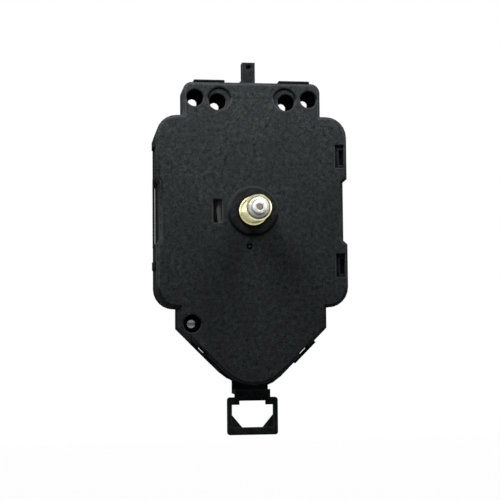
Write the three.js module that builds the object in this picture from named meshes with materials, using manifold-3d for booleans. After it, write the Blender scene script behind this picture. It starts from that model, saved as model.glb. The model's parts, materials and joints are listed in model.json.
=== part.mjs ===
// Quartz pendulum clock movement, in millimetres.
// The origin lies on the hand axis, in the plane of the front face. The front looks along -Y,
// +Z points to twelve o'clock and +X is to the right as the dial is read.
import * as THREE from "three";
import { mergeVertices } from "three/addons/utils/BufferGeometryUtils.js";
import Module from "manifold-3d";

const wasm = await Module();
wasm.setup();

// Case outline and depth
const caseHalf = 28;
const caseCorner = 6;
const caseDepth = 17.6;
const skin = 1.4;
const wall = 1.3;
const notch = { inset: 1.4, leftInset: 0.9, rearInset: 0.7, top: 8.4, bottom: -8.3, ramp: 1.25 };
const frontInsets = [notch.inset, notch.leftInset];
const rearInsets = [notch.rearInset, notch.rearInset];
const tabInset = 7.8;
const tabRise = 9.75;
const tabCorner = 2.7;
const chinInset = 6.6;
const chinShoulder = 5.9;
const tipRadius = 12;
const edgeRound = 0.75;
const flangeDepth = 1.6;

// Fits shared by the pieces
const seatGap = 0.15;
const pivotGap = 0.12;
const overrun = 1;

// Worked out from the outline: the chin's sloping edges lie on |x| + |z| = chinReach
const root2 = Math.SQRT2;
const tabHalf = caseHalf - tabInset;
const tabTop = caseHalf + tabRise;
const chinHalf = caseHalf - chinInset;
const chinReach = chinHalf + caseHalf + chinShoulder;
const chinTip = chinReach - tipRadius * (root2 - 1);
const chinDrop = chinTip - caseHalf;
const chamber = caseHalf - wall;

// Levels inside the case, as shares of the depth between its two floors
const seamShare = 0.48;
const hourWheelShares = [0.04, 0.108];
const cannonShares = [0.135, 0.23];
const minuteWorkShares = [0.155, 0.21];
const motionPlateShares = [0.257, 0.324];
const centreWheelShares = [0.358, 0.412];
const thirdPinionShare = 0.348;
const thirdWheelShares = [0.493, 0.54];
const shaftStepShare = 0.466;
const secondPinionShare = 0.486;
const secondWheelShares = [0.608, 0.655];
const fifthPinionShare = 0.595;
const fifthWheelShares = [0.716, 0.764];
const rotorPinionShares = [0.703, 0.78];
const rotorMagnetShares = [0.486, 0.635];
const statorShares = [0.534, 0.588];
const trainPlateShares = [0.811, 0.872];
const boardShares = [0.743, 0.797];
const screwShares = [0.27, 0.838];
const leverShares = [0.547, 0.628];
const leverHubShares = [0.466, 0.7365];
const pendulumPinShares = [0.135, 0.932];
const pendulumMagnetShare = 0.378;
const pendulumCoilShare = 0.324;
const loopShare = 0.1824;

function level(share) {
  return skin + share * (caseDepth - 2 * skin);
}

const frontDepth = level(seamShare);
const [hourWheelFront, hourWheelBack] = hourWheelShares.map(level);
const [cannonFront, cannonBack] = cannonShares.map(level);
const [minuteWorkFront, minuteWorkBack] = minuteWorkShares.map(level);
const [motionPlateFront, motionPlateBack] = motionPlateShares.map(level);
const [centreWheelFront, centreWheelBack] = centreWheelShares.map(level);
const thirdPinionFront = level(thirdPinionShare);
const [thirdWheelFront, thirdWheelBack] = thirdWheelShares.map(level);
const secondPinionFront = level(secondPinionShare);
const [secondWheelFront, secondWheelBack] = secondWheelShares.map(level);
const fifthPinionFront = level(fifthPinionShare);
const [fifthWheelFront, fifthWheelBack] = fifthWheelShares.map(level);
const [rotorPinionFront, rotorPinionBack] = rotorPinionShares.map(level);
const [rotorMagnetFront, rotorMagnetBack] = rotorMagnetShares.map(level);
const [statorFront, statorBack] = statorShares.map(level);
const [trainPlateFront, trainPlateBack] = trainPlateShares.map(level);
const [boardFront, boardBack] = boardShares.map(level);
const [screwSeat, screwEnd] = screwShares.map(level);
const [leverFront, leverBack] = leverShares.map(level);
const [leverHubFront, leverHubBack] = leverHubShares.map(level);
const [pendulumPinFront, pendulumPinBack] = pendulumPinShares.map(level);
const pendulumMagnetFront = level(pendulumMagnetShare);
const pendulumCoilBack = level(pendulumCoilShare);
const loopFront = level(loopShare);

// Holes of the fixing tab: distance in from the tab's side and down from its top
const outerHole = { inset: 3.5, drop: 4.75, radius: 2.5 };
const innerHole = { inset: 10.1, drop: 5.75, radius: 2.45 };
const innerDish = { inset: 10.6, drop: 4.95, radius: 3.4, depth: 0.5 };
const rearHole = 1.4;

// Hanging lug above the tab
const lug = { half: 1.92, height: 7.4, lead: 1.5, flare: 1.8, flareHeight: 2.1 };
const lugEye = { below: 1.55, radius: 0.75, depth: 0.8 };

// Round boss, sight window and moulding marks of the front face
const boss = { radius: 7.2, height: 0.6, round: 0.35, keyHalf: 1.4, keyDepth: 0.6 };
const sightWindow = { beyondRim: 1.5, insideRim: 1.1, top: 3.4, bottom: -3.4, corner: 0.6 };
const markRing = { x: -1.06, z: -10.3, outer: 0.9, inner: 0.45, depth: 0.25 };

// Side latches: pocket in the front case, hooked arm on the rear case
const sideLatchInset = 12;
const pocket = { inset: 3.6, above: 3.6, below: 3.1, floor: 3.2, rib: 0.5, base: 0.9, rim: 0.9 };
const channelWall = 0.6;
const sideArm = { half: 2.3, inset: 1.1, reach: 2.1, hookInset: 2.2, hookBack: 2.9 };
const armGap = 0.25;
const leftLatchInsets = [8.1, 12.4];
const leftLatch = { half: 1.2, proud: 0.7, reach: 5 };
const sideLatchCentres = [caseHalf - sideLatchInset, sideLatchInset - caseHalf];
const leftLatchCentres = [caseHalf - leftLatchInsets[0], leftLatchInsets[1] - caseHalf];

// Latch strips along the top edge of the tab
const topLatch = { inset: 2.6, length: 9.9, proud: 0.7, front: 0.5 };

// Strap of the rear case across each side notch
const strap = { proud: 0.5, lap: 0.6 };

// Bars on the sloping edges of the chin, each across a sight slot, and the lip below its tip
const chinBar = { inset: 6.6, length: 8.6, proud: 0.85, front: 2.2, back: 3.7 };
const chinSlot = { length: 3.2, outside: 0.45, inside: 0.6, rearInside: 1.2 };
const chinLip = { proud: 0.25, tipRadius: 11.2, front: 1.2, back: 2.6, height: 7 };

// Tooth form, as shares of the module and of the tooth pitch
const addendumShare = 0.85;
const dedendumShare = 1.2;
const toothRootShare = 0.28;
const toothTipShare = 0.12;

// Motion work: tooth counts, centre distance as a share of the chamber, places as shares of a turn, and the
// smooth rim in front of the hour wheel's teeth in shares of their module
const cannonTeeth = 12;
const minuteWorkTeeth = 36;
const minuteWorkPinionTeeth = 10;
const hourTeeth = 40;
const motionDistanceShare = 0.454;
const hourRimShares = { beyondTip: 0.7, width: 2.4 };
const minuteWorkTurnShare = -0.0825;
const knobTurnShare = -0.16667;

// Going train: tooth counts, centre distances and places in the same way
const rotorTeeth = 8;
const fifthTeeth = 40;
const fifthPinionTeeth = 8;
const secondTeeth = 48;
const secondPinionTeeth = 8;
const thirdTeeth = 60;
const thirdPinionTeeth = 6;
const centreTeeth = 48;
const secondDistanceShare = 0.3277;
const fifthTurnShare = -0.40333;
const rotorDistanceShare = 0.2247;
const rotorTurnShare = -0.43444;
const thirdDistanceShare = 0.3184;
const thirdTurnShare = -0.20833;
const arborRadius = 0.4;
const lighteningHoles = 3;
const lighteningRadiusShare = 0.2;
const lighteningPlaceShare = 0.58;
const rotorMagnetShare = 0.0974;
const rotorBoreGap = 0.15;

// Three-armed friction spring behind the centre wheel
const clutch = { thick: 0.25, outer: 3.4, armHalf: 0.7, reach: 5.2 };
const clutchArms = 3;

// Posts that carry the plates: reach from the hand axis as shares of the chamber, place as shares of a turn
const plateMargin = 2.1;
const postRadius = 1.3;
const pegRadius = 0.75;
const trainPostShares = [[0.387, 0.1317], [0.408, 0.381], [0.655, -0.3009]];
const motionPostShares = [[0.563, 0.4275], [0.528, 0.0879], [0.618, -0.3475]];

// Hand axis: fixed bush, hour tube, minute tube and second shaft
const bush = { crest: 3.78, undercut: 0.28, wall: 0.63, tip: 11.3, collar: 4.2, collarTop: 1.9, chamfer: 0.25 };
const bushRunGap = 0.15;
const hourTube = { outer: bush.crest - bush.wall - bushRunGap, tip: 12, round: 0.4 };
const minuteTube = { outer: 1.95, tip: 14.7, round: 0.3 };
const secondShaft = { radius: 0.95, tip: 14.1, chamfer: 0.3, step: 0.5, pivot: 0.35 };
const tubeGap = 0.13;
const shaftGap = 0.15;

// Stepping motor
const stator = { gap: 0.55, rim: 1.55, rightRim: 1.05, armWidth: 3, armLead: 0.7, above: 11.8, below: 9.4 };
const coreThick = 0.8;
const bobbinFlangeShare = 0.1386;
const coreHalfShare = 0.405;
const sleeveShare = 0.19;
const bobbin = { flangeThick: 0.8, end: 0.6, wallGap: 0.3, wireInset: 0.4 };

// Circuit board and what it carries
const board = { inset: 2.7, height: 6.7, length: 30.2, postInset: 5 };
const chip = { postGap: 5, radius: 2.6, height: 1 };
const crystal = { postGap: 2.7, rise: 1.2, radius: 1, length: 6.2 };

// Battery bay for one cell, open at the back, and its contacts
const bay = { wheelGap: 0.5, sill: 0.9, headGap: 0.2, floorGap: 0.35, floorThick: 0.9, endGap: 0.9 };
const bayLip = 0.5;
const contact = { wallGap: 0.15, thick: 0.3, below: 3.5, above: 4, floorGap: 1.85, backGap: 3.1 };
const contactTail = { width: 1.6, wellGap: 0.4, drop: 2.4 };
const contactNub = { radius: 2.4, height: 1.2, tip: 1.6 };

// Setting knob at the back
const knob = { radius: 5.6, proud: 0.8, fluteDepth: 0.4, arbor: 1.5, pivot: 0.6 };
const knobFlutes = 24;
const knobWell = { gap: 0.7, wall: 1, floorDepth: 3.1, floorThick: 1 };

// Case screw in the chin
const screw = { inset: 3.6, drop: 4.5, sink: 2.6, head: 1.35, headHeight: 1.1, shank: 0.75, post: 3.4, rearPost: 2.5 };
const screwSlot = { half: 0.25, depth: 0.5 };

// Pendulum drive in the chin
const magnetRiseShare = 0.3955;
const pendulumMagnet = { radius: 3.1, cupWall: 0.7 };
const coilFlangeShare = 0.3118;
const pendulumCoil = { wireInset: 0.5, hub: 2.4, bore: 1.4, floorGap: 0.3, disc: 0.6 };
const pendulumPin = { radius: 0.75, boss: 2.1, bossGap: 0.3, coilGap: 1.2, hub: 2 };
const pendulumArm = { upperHalf: 2.9, lowerHalf: 5.33, widenAbove: 3.3, below: 2.65 };
const exitSlot = { half: 8.3, above: 5, depthGap: 0.8 };
const neck = { half: 5.2, below: 1.25 };
const loop = { half: 7.4, below: 3.5, height: 10.85, depth: 1.3, corner: 0.8 };
const loopBars = { side: 1.35, head: 1, sill: 2.15 };
const loopBlock = { half: 3.85, drop: 1.15 };
const loopGusset = { rise: 3.65, run: 3.05, sink: 0.35 };

// Round stretches, in segments
const fine = 28;
const medium = 16;
const coarse = 10;
const cornerSegments = 3;
const bevelSegments = 1;

// Closed solids from three.js geometry

function signedVolume(position, triangles) {
  let volume = 0;
  for (let i = 0; i < triangles.length; i += 3) {
    const corners = triangles.slice(i, i + 3);
    const [a, b, c] = corners.map((k) => new THREE.Vector3().fromBufferAttribute(position, k));
    volume += a.dot(b.cross(c));
  }
  return volume;
}

function solid(geometry) {
  geometry.deleteAttribute("normal");
  geometry.deleteAttribute("uv");
  const merged = mergeVertices(geometry);
  const source = Array.from(merged.index.array);
  const kept = [];
  for (let i = 0; i < source.length; i += 3) {
    const [a, b, c] = source.slice(i, i + 3);
    if (a !== b && b !== c && c !== a) kept.push(a, b, c);
  }
  if (signedVolume(merged.attributes.position, kept) < 0) kept.reverse();
  return new wasm.Manifold(new wasm.Mesh({
    numProp: 3,
    vertProperties: new Float32Array(merged.attributes.position.array),
    triVerts: new Uint32Array(kept),
  }));
}

function mesh(name, material, body) {
  const data = body.getMesh();
  const geometry = new THREE.BufferGeometry();
  geometry.setAttribute("position", new THREE.BufferAttribute(new Float32Array(data.vertProperties), 3));
  geometry.setIndex(new THREE.BufferAttribute(new Uint32Array(data.triVerts), 1));
  geometry.computeVertexNormals();
  const result = new THREE.Mesh(geometry, material);
  result.name = name;
  return result;
}

function joinAll(bodies) {
  return bodies.reduce((whole, body) => whole.add(body));
}

function cutAll(body, cutters) {
  return cutters.reduce((whole, cutter) => whole.subtract(cutter), body);
}

// An outline in X and Z, extruded from one depth to another
function prism(shape, front, back, segments = cornerSegments, bevel = 0) {
  const depth = back - front - 2 * bevel;
  const geometry = new THREE.ExtrudeGeometry(shape, {
    depth,
    curveSegments: segments,
    bevelEnabled: bevel > 0,
    bevelThickness: bevel,
    bevelSize: bevel,
    bevelOffset: -bevel,
    bevelSegments,
  });
  geometry.rotateX(Math.PI / 2);
  geometry.translate(0, back - bevel, 0);
  return solid(geometry);
}

// A profile of [radius, depth] points turned about an axis along Y
function turned(profile, x = 0, z = 0, segments = medium) {
  const points = profile.map(([radius, depth]) => new THREE.Vector2(radius, depth));
  const geometry = new THREE.LatheGeometry(points, segments);
  geometry.translate(x, 0, z);
  return solid(geometry);
}

function rod(radius, front, back, x = 0, z = 0, segments = medium) {
  return turned([[0, front], [radius, front], [radius, back], [0, back]], x, z, segments);
}

function tube(outer, inner, front, back, x = 0, z = 0, segments = medium) {
  const section = [[inner, front], [outer, front], [outer, back], [inner, back], [inner, front]];
  return turned(section, x, z, segments);
}

function block(x0, x1, y0, y1, z0, z1) {
  const geometry = new THREE.BoxGeometry(Math.abs(x1 - x0), Math.abs(y1 - y0), Math.abs(z1 - z0));
  geometry.translate((x0 + x1) / 2, (y0 + y1) / 2, (z0 + z1) / 2);
  return solid(geometry);
}

function roundedRectangle(left, right, bottom, top, corner) {
  const shape = new THREE.Shape();
  shape.moveTo(left + corner, bottom);
  shape.absarc(right - corner, bottom + corner, corner, -Math.PI / 2, 0);
  shape.absarc(right - corner, top - corner, corner, 0, Math.PI / 2);
  shape.absarc(left + corner, top - corner, corner, Math.PI / 2, Math.PI);
  shape.absarc(left + corner, bottom + corner, corner, Math.PI, 1.5 * Math.PI);
  return shape;
}

// Place at a distance from another, in a direction given as a share of a turn from +X towards +Z
function polar(distance, turnShare, from = [0, 0]) {
  const angle = turnShare * 2 * Math.PI;
  return [from[0] + distance * Math.cos(angle), from[1] + distance * Math.sin(angle)];
}

// Outline round a set of places, all at one margin, as on a bearing plate
function plateOutline(places, margin, steps = medium) {
  const rim = [];
  for (const place of places) {
    for (let i = 0; i < steps; i += 1) rim.push(polar(margin, i / steps, place));
  }
  rim.sort((a, b) => a[0] - b[0] || a[1] - b[1]);
  const turnsLeft = (a, b, c) => (b[0] - a[0]) * (c[1] - a[1]) - (b[1] - a[1]) * (c[0] - a[0]) > 1e-6;
  const half = (points) => {
    const chain = [];
    for (const point of points) {
      while (chain.length > 1 && !turnsLeft(chain.at(-2), chain.at(-1), point)) chain.pop();
      chain.push(point);
    }
    return chain.slice(0, -1);
  };
  const hull = [...half(rim), ...half(rim.toReversed())];
  return new THREE.Shape(hull.map(([x, z]) => new THREE.Vector2(x, z)));
}

// Toothed wheels

function toothedOutline(teeth, moduleSize, phase) {
  const pitchRadius = (teeth * moduleSize) / 2;
  const tip = pitchRadius + addendumShare * moduleSize;
  const root = pitchRadius - dedendumShare * moduleSize;
  const step = (2 * Math.PI) / teeth;
  const flank = [[tip, toothTipShare], [root, toothRootShare]];
  const corners = [...flank.map(([radius, share]) => [radius, -share]).toReversed(), ...flank];
  const points = [];
  for (let i = 0; i < teeth; i += 1) {
    for (const [radius, share] of corners) {
      const angle = phase + (i + share) * step;
      points.push(new THREE.Vector2(radius * Math.cos(angle), radius * Math.sin(angle)));
    }
  }
  return new THREE.Shape(points);
}

function toothed(teeth, moduleSize, phase, front, back, [x, z]) {
  return prism(toothedOutline(teeth, moduleSize, phase), front, back).translate([x, 0, z]);
}

// Phase that puts a gap of the driven wheel on the driver's tooth along their line of centres
function meshedPhase(driverTeeth, driverPhase, drivenTeeth, from, to) {
  const line = Math.atan2(to[1] - from[1], to[0] - from[0]);
  const driverShare = ((line - driverPhase) * driverTeeth) / (2 * Math.PI);
  return line + Math.PI - ((0.5 - driverShare) * 2 * Math.PI) / drivenTeeth;
}

function pairModule(distance, teethA, teethB) {
  return (2 * distance) / (teethA + teethB);
}

// Round lightening holes in a wheel's web, between its hub and its rim
function lightened(wheel, pitchRadius, front, back, [x, z]) {
  const cutters = [];
  for (let i = 0; i < lighteningHoles; i += 1) {
    const place = polar(lighteningPlaceShare * pitchRadius, (i + 0.5) / lighteningHoles, [x, z]);
    const radius = lighteningRadiusShare * pitchRadius;
    cutters.push(rod(radius, front - overrun, back + overrun, ...place, coarse));
  }
  return cutAll(wheel, cutters);
}

// Places of the arbors, seen from the front
const motionDistance = motionDistanceShare * chamber;
const secondDistance = secondDistanceShare * chamber;
const rotorDistance = rotorDistanceShare * chamber;
const thirdDistance = thirdDistanceShare * chamber;
const centre = [0, 0];
const minuteWorkPlace = polar(motionDistance, minuteWorkTurnShare);
const knobPlace = polar(motionDistance, knobTurnShare, minuteWorkPlace);
const fifthPlace = polar(secondDistance, fifthTurnShare);
const rotorPlace = polar(rotorDistance, rotorTurnShare, fifthPlace);
const thirdPlace = polar(thirdDistance, thirdTurnShare);
const trainPosts = trainPostShares.map(([reach, turnShare]) => polar(reach * chamber, turnShare));
const motionPosts = motionPostShares.map(([reach, turnShare]) => polar(reach * chamber, turnShare));

const motionModule = pairModule(motionDistance, cannonTeeth, minuteWorkTeeth);
const hourModule = pairModule(motionDistance, minuteWorkPinionTeeth, hourTeeth);
const secondModule = pairModule(secondDistance, fifthPinionTeeth, secondTeeth);
const fifthModule = pairModule(rotorDistance, rotorTeeth, fifthTeeth);
const thirdModule = pairModule(thirdDistance, secondPinionTeeth, thirdTeeth);
const centreModule = pairModule(thirdDistance, thirdPinionTeeth, centreTeeth);

// Places that follow the train and the case
const hourTip = (hourTeeth * hourModule) / 2 + addendumShare * hourModule;
const bayBottom = hourTip + bay.wheelGap + bay.sill;
const bayTop = chamber - bay.headGap;
const bayHalf = chamber - bay.endGap;
const bayFloorFront = skin + bay.floorGap;
const bayFloorBack = bayFloorFront + bay.floorThick;
const contactX = bayHalf - contact.thick - contact.wallGap;
const wellFloorFront = caseDepth - knobWell.floorDepth;
const wellFloorBack = wellFloorFront + knobWell.floorThick;
const boardLeft = seatGap - contactX;
const boardRight = boardLeft + board.length;
const boardBottom = board.inset - caseHalf;
const boardTop = boardBottom + board.height;
const boardMiddle = (boardBottom + boardTop) / 2;
const boardPosts = [[boardLeft + board.postInset, boardMiddle], [boardRight - board.postInset, boardMiddle]];
const chipX = boardPosts[0][0] + postRadius + chip.postGap;
const crystalX = boardPosts[1][0] - postRadius - crystal.postGap;
const magnetRadius = rotorMagnetShare * chamber;
const statorArmRight = rotorPlace[0] + stator.armLead;
const statorTop = rotorPlace[1] + stator.above;
const statorBottom = rotorPlace[1] - stator.below;
const statorPosts = [statorTop - stator.armWidth / 2, statorBottom + stator.armWidth / 2]
  .map((z) => [statorArmRight - stator.armWidth / 2, z]);
const bobbinFlange = bobbinFlangeShare * chamber;
const coilX = bobbinFlange + notch.inset + bobbin.wallGap - chamber;
const coreHalf = coreHalfShare * bobbinFlange;
const coreLeft = coilX - coreHalf;
const coreRight = coilX + coreHalf;
const sleeve = sleeveShare * bobbinFlange;
const screwPlace = [screw.inset - chinHalf, -caseHalf - screw.drop];
const coilFlange = coilFlangeShare * chinDrop;
const pendulumMagnetZ = magnetRiseShare * chinDrop - chinTip;
const pivotZ = pendulumMagnetZ + coilFlange + pendulumPin.boss + pendulumPin.coilGap;
const leverBottom = -chinTip - pendulumArm.below;
const loopTop = -chinTip - loop.below;
const loopBottom = loopTop - loop.height;
const loopInnerHalf = loop.half - loopBars.side;
const loopInnerTop = loopTop - loopBars.head;
const loopInnerBottom = loopBottom + loopBars.sill;

// Materials
function finish(color, roughness, metalness = 0) {
  return new THREE.MeshStandardMaterial({ color, roughness, metalness });
}
const blackPlastic = finish(0x26282a, 0.55);
const platePlastic = finish(0x1c1d1f, 0.6);
const brass = finish(0xd9c27a, 0.32, 0.9);
const whitePlastic = finish(0xefeee8, 0.45);
const creamPlastic = finish(0xd8d2bd, 0.5);
const redPlastic = finish(0xa8402f, 0.5);
const greyPlastic = finish(0x8d9194, 0.5);
const steel = finish(0xb9bcc0, 0.3, 1);
const darkSteel = finish(0x4a4038, 0.4, 0.8);
const springSteel = finish(0xc9cbc6, 0.3, 1);
const copper = finish(0xb5642f, 0.35, 0.8);
const ferrite = finish(0x3d3f42, 0.5, 0.3);
const siliconSteel = finish(0x9a9c9b, 0.4, 0.9);
const boardGreen = finish(0x2f6b45, 0.55);
const chipBlack = finish(0x111213, 0.45);

// Case

// Outline of the case, grown outwards by a distance: radius of its tip, with or without the tab,
// depths of the right and left notch
function caseOutline(grow, tipRound = tipRadius + grow, withTab = true, notchInsets = frontInsets) {
  const [rightInset, leftInset] = notchInsets;
  const half = caseHalf + grow;
  const corner = caseCorner + grow;
  const chin = chinHalf + grow;
  const reach = chinReach + grow * root2;
  const tipCentre = tipRound * root2 - reach;
  const tab = tabHalf + grow;
  const top = tabTop + grow;
  const tabRound = tabCorner + grow;
  const shape = new THREE.Shape();
  shape.absarc(0, tipCentre, tipRound, -0.75 * Math.PI, -0.25 * Math.PI);
  shape.lineTo(chin, chin - reach);
  shape.lineTo(chin, -half);
  shape.absarc(half - corner, corner - half, corner, -Math.PI / 2, 0);
  for (const [x, z] of notchPoints(grow, rightInset)) shape.lineTo(x, z);
  shape.absarc(half - corner, half - corner, corner, 0, Math.PI / 2);
  if (withTab) {
    shape.lineTo(tab, half);
    shape.absarc(tab - tabRound, top - tabRound, tabRound, 0, Math.PI / 2);
    shape.absarc(tabRound - tab, top - tabRound, tabRound, Math.PI / 2, Math.PI);
    shape.lineTo(-tab, half);
  }
  shape.absarc(corner - half, half - corner, corner, Math.PI / 2, Math.PI);
  for (const [x, z] of notchPoints(grow, leftInset).toReversed()) shape.lineTo(-x, z);
  shape.absarc(corner - half, corner - half, corner, Math.PI, 1.5 * Math.PI);
  shape.lineTo(-chin, -half);
  shape.lineTo(-chin, chin - reach);
  return shape;
}

// The shallow finger notch in each side, from its lower ramp to its upper one
function notchPoints(grow, inset) {
  const outside = caseHalf + grow;
  const inside = outside - inset;
  return [
    [outside, notch.bottom - notch.ramp],
    [inside, notch.bottom],
    [inside, notch.top],
    [outside, notch.top + notch.ramp],
  ];
}

function mirrored(place) {
  return [place, [-place[0], place[1]]];
}

function inTab({ inset, drop }) {
  return mirrored([tabHalf - inset, tabTop - drop]);
}

const tabHoles = [outerHole, innerHole].flatMap((hole) => inTab(hole).map((place) => ({
  place,
  radius: hole.radius,
})));

// A block laid along the sloping edge of the chin, from a distance outside the outline to one inside it
function chinBlock(side, length, out, inner, front, back) {
  const edge = chinReach / root2;
  const along = (chinHalf - chinBar.inset - chinReach / 2) * root2;
  const bar = block(along - length / 2, along + length / 2, front, back, -edge - out, inner - edge);
  const turnedBar = bar.rotate([0, -45, 0]);
  return side > 0 ? turnedBar : turnedBar.mirror([1, 0, 0]);
}

function frontCase() {
  const lip = prism(caseOutline(chinLip.proud, chinLip.tipRadius, false), chinLip.front, chinLip.back)
    .intersect(block(-caseHalf, caseHalf, 0, frontDepth, -2 * chinTip, chinLip.height - chinTip));
  const shell = prism(caseOutline(0), 0, 3 * wall, cornerSegments, edgeRound)
    .add(prism(caseOutline(0), 2 * edgeRound, frontDepth))
    .add(lip)
    .subtract(prism(caseOutline(-wall), skin, frontDepth + overrun));
  const added = [
    bossBody(),
    block(-tabHalf, tabHalf, skin / 2, frontDepth, caseHalf - wall, caseHalf),
  ];
  const cut = [
    rod(bush.crest + pivotGap, -boss.height - overrun, skin + overrun, 0, 0, fine),
    block(-boss.keyHalf, boss.keyHalf, -boss.height - overrun, 0, -boss.radius - overrun,
      boss.keyDepth - boss.radius),
    prism(roundedRectangle(-hourTip - sightWindow.beyondRim, sightWindow.insideRim - hourTip,
      sightWindow.bottom, sightWindow.top, sightWindow.corner), -overrun, skin + overrun),
    tube(markRing.outer, markRing.inner, -overrun, markRing.depth, markRing.x, markRing.z, coarse),
  ];
  for (const { place, radius } of tabHoles) cut.push(rod(radius, -overrun, frontDepth + overrun, ...place));
  for (const [x, z] of inTab(innerDish)) {
    cut.push(rod(innerDish.radius, -overrun, innerDish.depth, x, z));
  }
  for (const z of sideLatchCentres) {
    const rib = pocket.rib;
    const pocketInner = caseHalf - pocket.inset;
    const channelInner = caseHalf - sideArm.inset - armGap;
    added.push(block(pocketInner - rib, caseHalf - rib, skin / 2, pocket.floor + pocket.base,
      z - pocket.below - rib, z + pocket.above + rib));
    added.push(block(channelInner - channelWall, caseHalf - rib, skin / 2, frontDepth,
      z - sideArm.half - armGap - channelWall, z + sideArm.half + armGap + channelWall));
    cut.push(block(pocketInner, caseHalf - pocket.rim, -overrun, pocket.floor, z - pocket.below,
      z + pocket.above));
    cut.push(block(channelInner, caseHalf + overrun, sideArm.reach - armGap, frontDepth + overrun,
      z - sideArm.half - armGap, z + sideArm.half + armGap));
  }
  for (const [x, z] of motionPosts) {
    added.push(rod(postRadius, skin / 2, motionPlateFront - seatGap, x, z, coarse));
    added.push(rod(pegRadius, skin / 2, motionPlateBack + seatGap, x, z, coarse));
  }
  added.push(rod(screw.post, skin / 2, frontDepth, ...screwPlace));
  cut.push(rod(screw.sink, -overrun, screwSeat, ...screwPlace));
  cut.push(rod(screw.shank + seatGap, 0, frontDepth + overrun, ...screwPlace, coarse));
  added.push(rod(pendulumPin.boss, skin / 2, leverHubFront - pendulumPin.bossGap, 0, pivotZ, coarse));
  cut.push(rod(pendulumPin.radius + pivotGap, pendulumPinFront - seatGap, frontDepth, 0, pivotZ, coarse));
  added.push(rod(pendulumCoil.bore - seatGap, skin / 2, pendulumCoilBack, 0, pendulumMagnetZ, coarse));
  cut.push(rod(arborRadius + pivotGap, skin / 2, skin + overrun, ...minuteWorkPlace, coarse));
  cut.push(rod(knob.pivot + pivotGap, skin / 2, skin + overrun, ...knobPlace, coarse));
  for (const side of [1, -1]) {
    added.push(chinBlock(side, chinBar.length, chinBar.proud, wall / 2, chinBar.front, chinBar.back));
    cut.push(chinBlock(side, chinSlot.length, chinSlot.outside, chinSlot.inside, -overrun,
      frontDepth + overrun));
  }
  return cutAll(joinAll([shell, ...added]), cut);
}

// Boss round the bush, with a bevelled rim
function bossBody() {
  return turned([
    [0, -boss.height],
    [boss.radius - boss.round, -boss.height],
    [boss.radius, boss.round - boss.height],
    [boss.radius, skin],
    [0, skin],
  ], 0, 0, fine);
}

function rearCase() {
  const front = frontDepth + seatGap;
  const floor = caseDepth - skin;
  const wellRadius = knob.radius + knobWell.gap;
  const back = front + flangeDepth;
  const inner = caseOutline(-wall, tipRadius - wall, false, rearInsets);
  const chamberSpace = prism(inner, 0, floor);
  const frontSpace = prism(caseOutline(seatGap), -overrun, front);
  const outer = prism(caseOutline(0, tipRadius, false, rearInsets), front, caseDepth)
    .add(prism(caseOutline(0, tipRadius, true, rearInsets), front, back));
  const hollow = prism(inner, frontDepth - overrun, floor);
  const shell = outer.subtract(hollow);
  const added = [
    bayFloor(),
    block(-bayHalf, bayHalf, bayFloorFront, floor + skin / 2, bayBottom - bay.sill, bayBottom),
    rod(wellRadius + knobWell.wall, wellFloorFront, caseDepth - skin / 2, ...knobPlace, fine),
    rod(screw.rearPost, front, floor + skin / 2, ...screwPlace, coarse),
    rod(pendulumPin.boss, leverHubBack + pendulumPin.bossGap, floor + skin / 2, 0, pivotZ, coarse),
  ];
  const latches = [lugBody(), topStrip(1), topStrip(-1)];
  const cut = [
    block(-bayHalf, bayHalf, floor - overrun, caseDepth + overrun, bayBottom + bayLip, bayTop - bayLip),
    rod(wellRadius, wellFloorBack, caseDepth + overrun, ...knobPlace, fine),
    rod(knob.arbor + seatGap, wellFloorFront - overrun, caseDepth, ...knobPlace, coarse),
    rod(screw.shank + pivotGap, 0, screwEnd + seatGap, ...screwPlace, coarse),
    rod(pendulumPin.radius + pivotGap, front, pendulumPinBack + seatGap, 0, pivotZ, coarse),
    block(-exitSlot.half, exitSlot.half, frontDepth - seatGap, leverBack + exitSlot.depthGap, -2 * chinTip,
      exitSlot.above - chinTip),
  ];
  for (const { place } of tabHoles) cut.push(rod(rearHole, 0, caseDepth, ...place, coarse));
  for (const side of [1, -1]) {
    cut.push(block(side * (contactX - seatGap), side * caseHalf, tailFront - seatGap, tailBack + seatGap,
      bayBottom - bay.sill - overrun, bayBottom + bayLip).intersect(chamberSpace));
  }
  for (const [x, z] of boardPosts) {
    added.push(rod(postRadius, boardBack + seatGap, floor + skin / 2, x, z, coarse));
    added.push(rod(pegRadius, boardFront - seatGap, floor, x, z, coarse));
  }
  for (const z of sideLatchCentres) added.push(...sideHook(z));
  for (const z of leftLatchCentres) {
    latches.push(block(-caseHalf - leftLatch.proud, wall / 2 - caseHalf, frontDepth - leftLatch.reach, back,
      z - leftLatch.half, z + leftLatch.half));
  }
  for (const side of [1, -1]) {
    added.push(notchStrap(side, front, back));
    cut.push(chinBlock(side, chinSlot.length, overrun, chinSlot.rearInside, 0, caseDepth + overrun));
  }
  const held = joinAll(latches).subtract(frontSpace);
  return cutAll(joinAll([shell, held, ...added]), cut);
}

// Floor of the battery bay, inside the front case and clear of the upper latch pocket
function bayFloor() {
  const z = sideLatchCentres[0];
  const clear = pocket.rib + seatGap;
  return block(-bayHalf, bayHalf, bayFloorFront, bayFloorBack, bayBottom - bay.sill, caseHalf)
    .intersect(prism(caseOutline(-wall - seatGap, tipRadius - wall, false), 0, frontDepth))
    .subtract(block(caseHalf - pocket.inset - clear, caseHalf, 0, frontDepth, z - pocket.below - clear,
      z + pocket.above + clear));
}

// Strap that runs past the side notch, in line with the case's side
function notchStrap(side, front, back) {
  const low = notch.bottom - notch.ramp;
  const high = notch.top + notch.ramp;
  const bar = block(side * (caseHalf - wall / 2), side * (caseHalf + strap.proud), front, back,
    low - strap.lap, high + strap.lap);
  return bar.subtract(block(0, side * caseHalf, 0, caseDepth, low, high));
}

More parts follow.
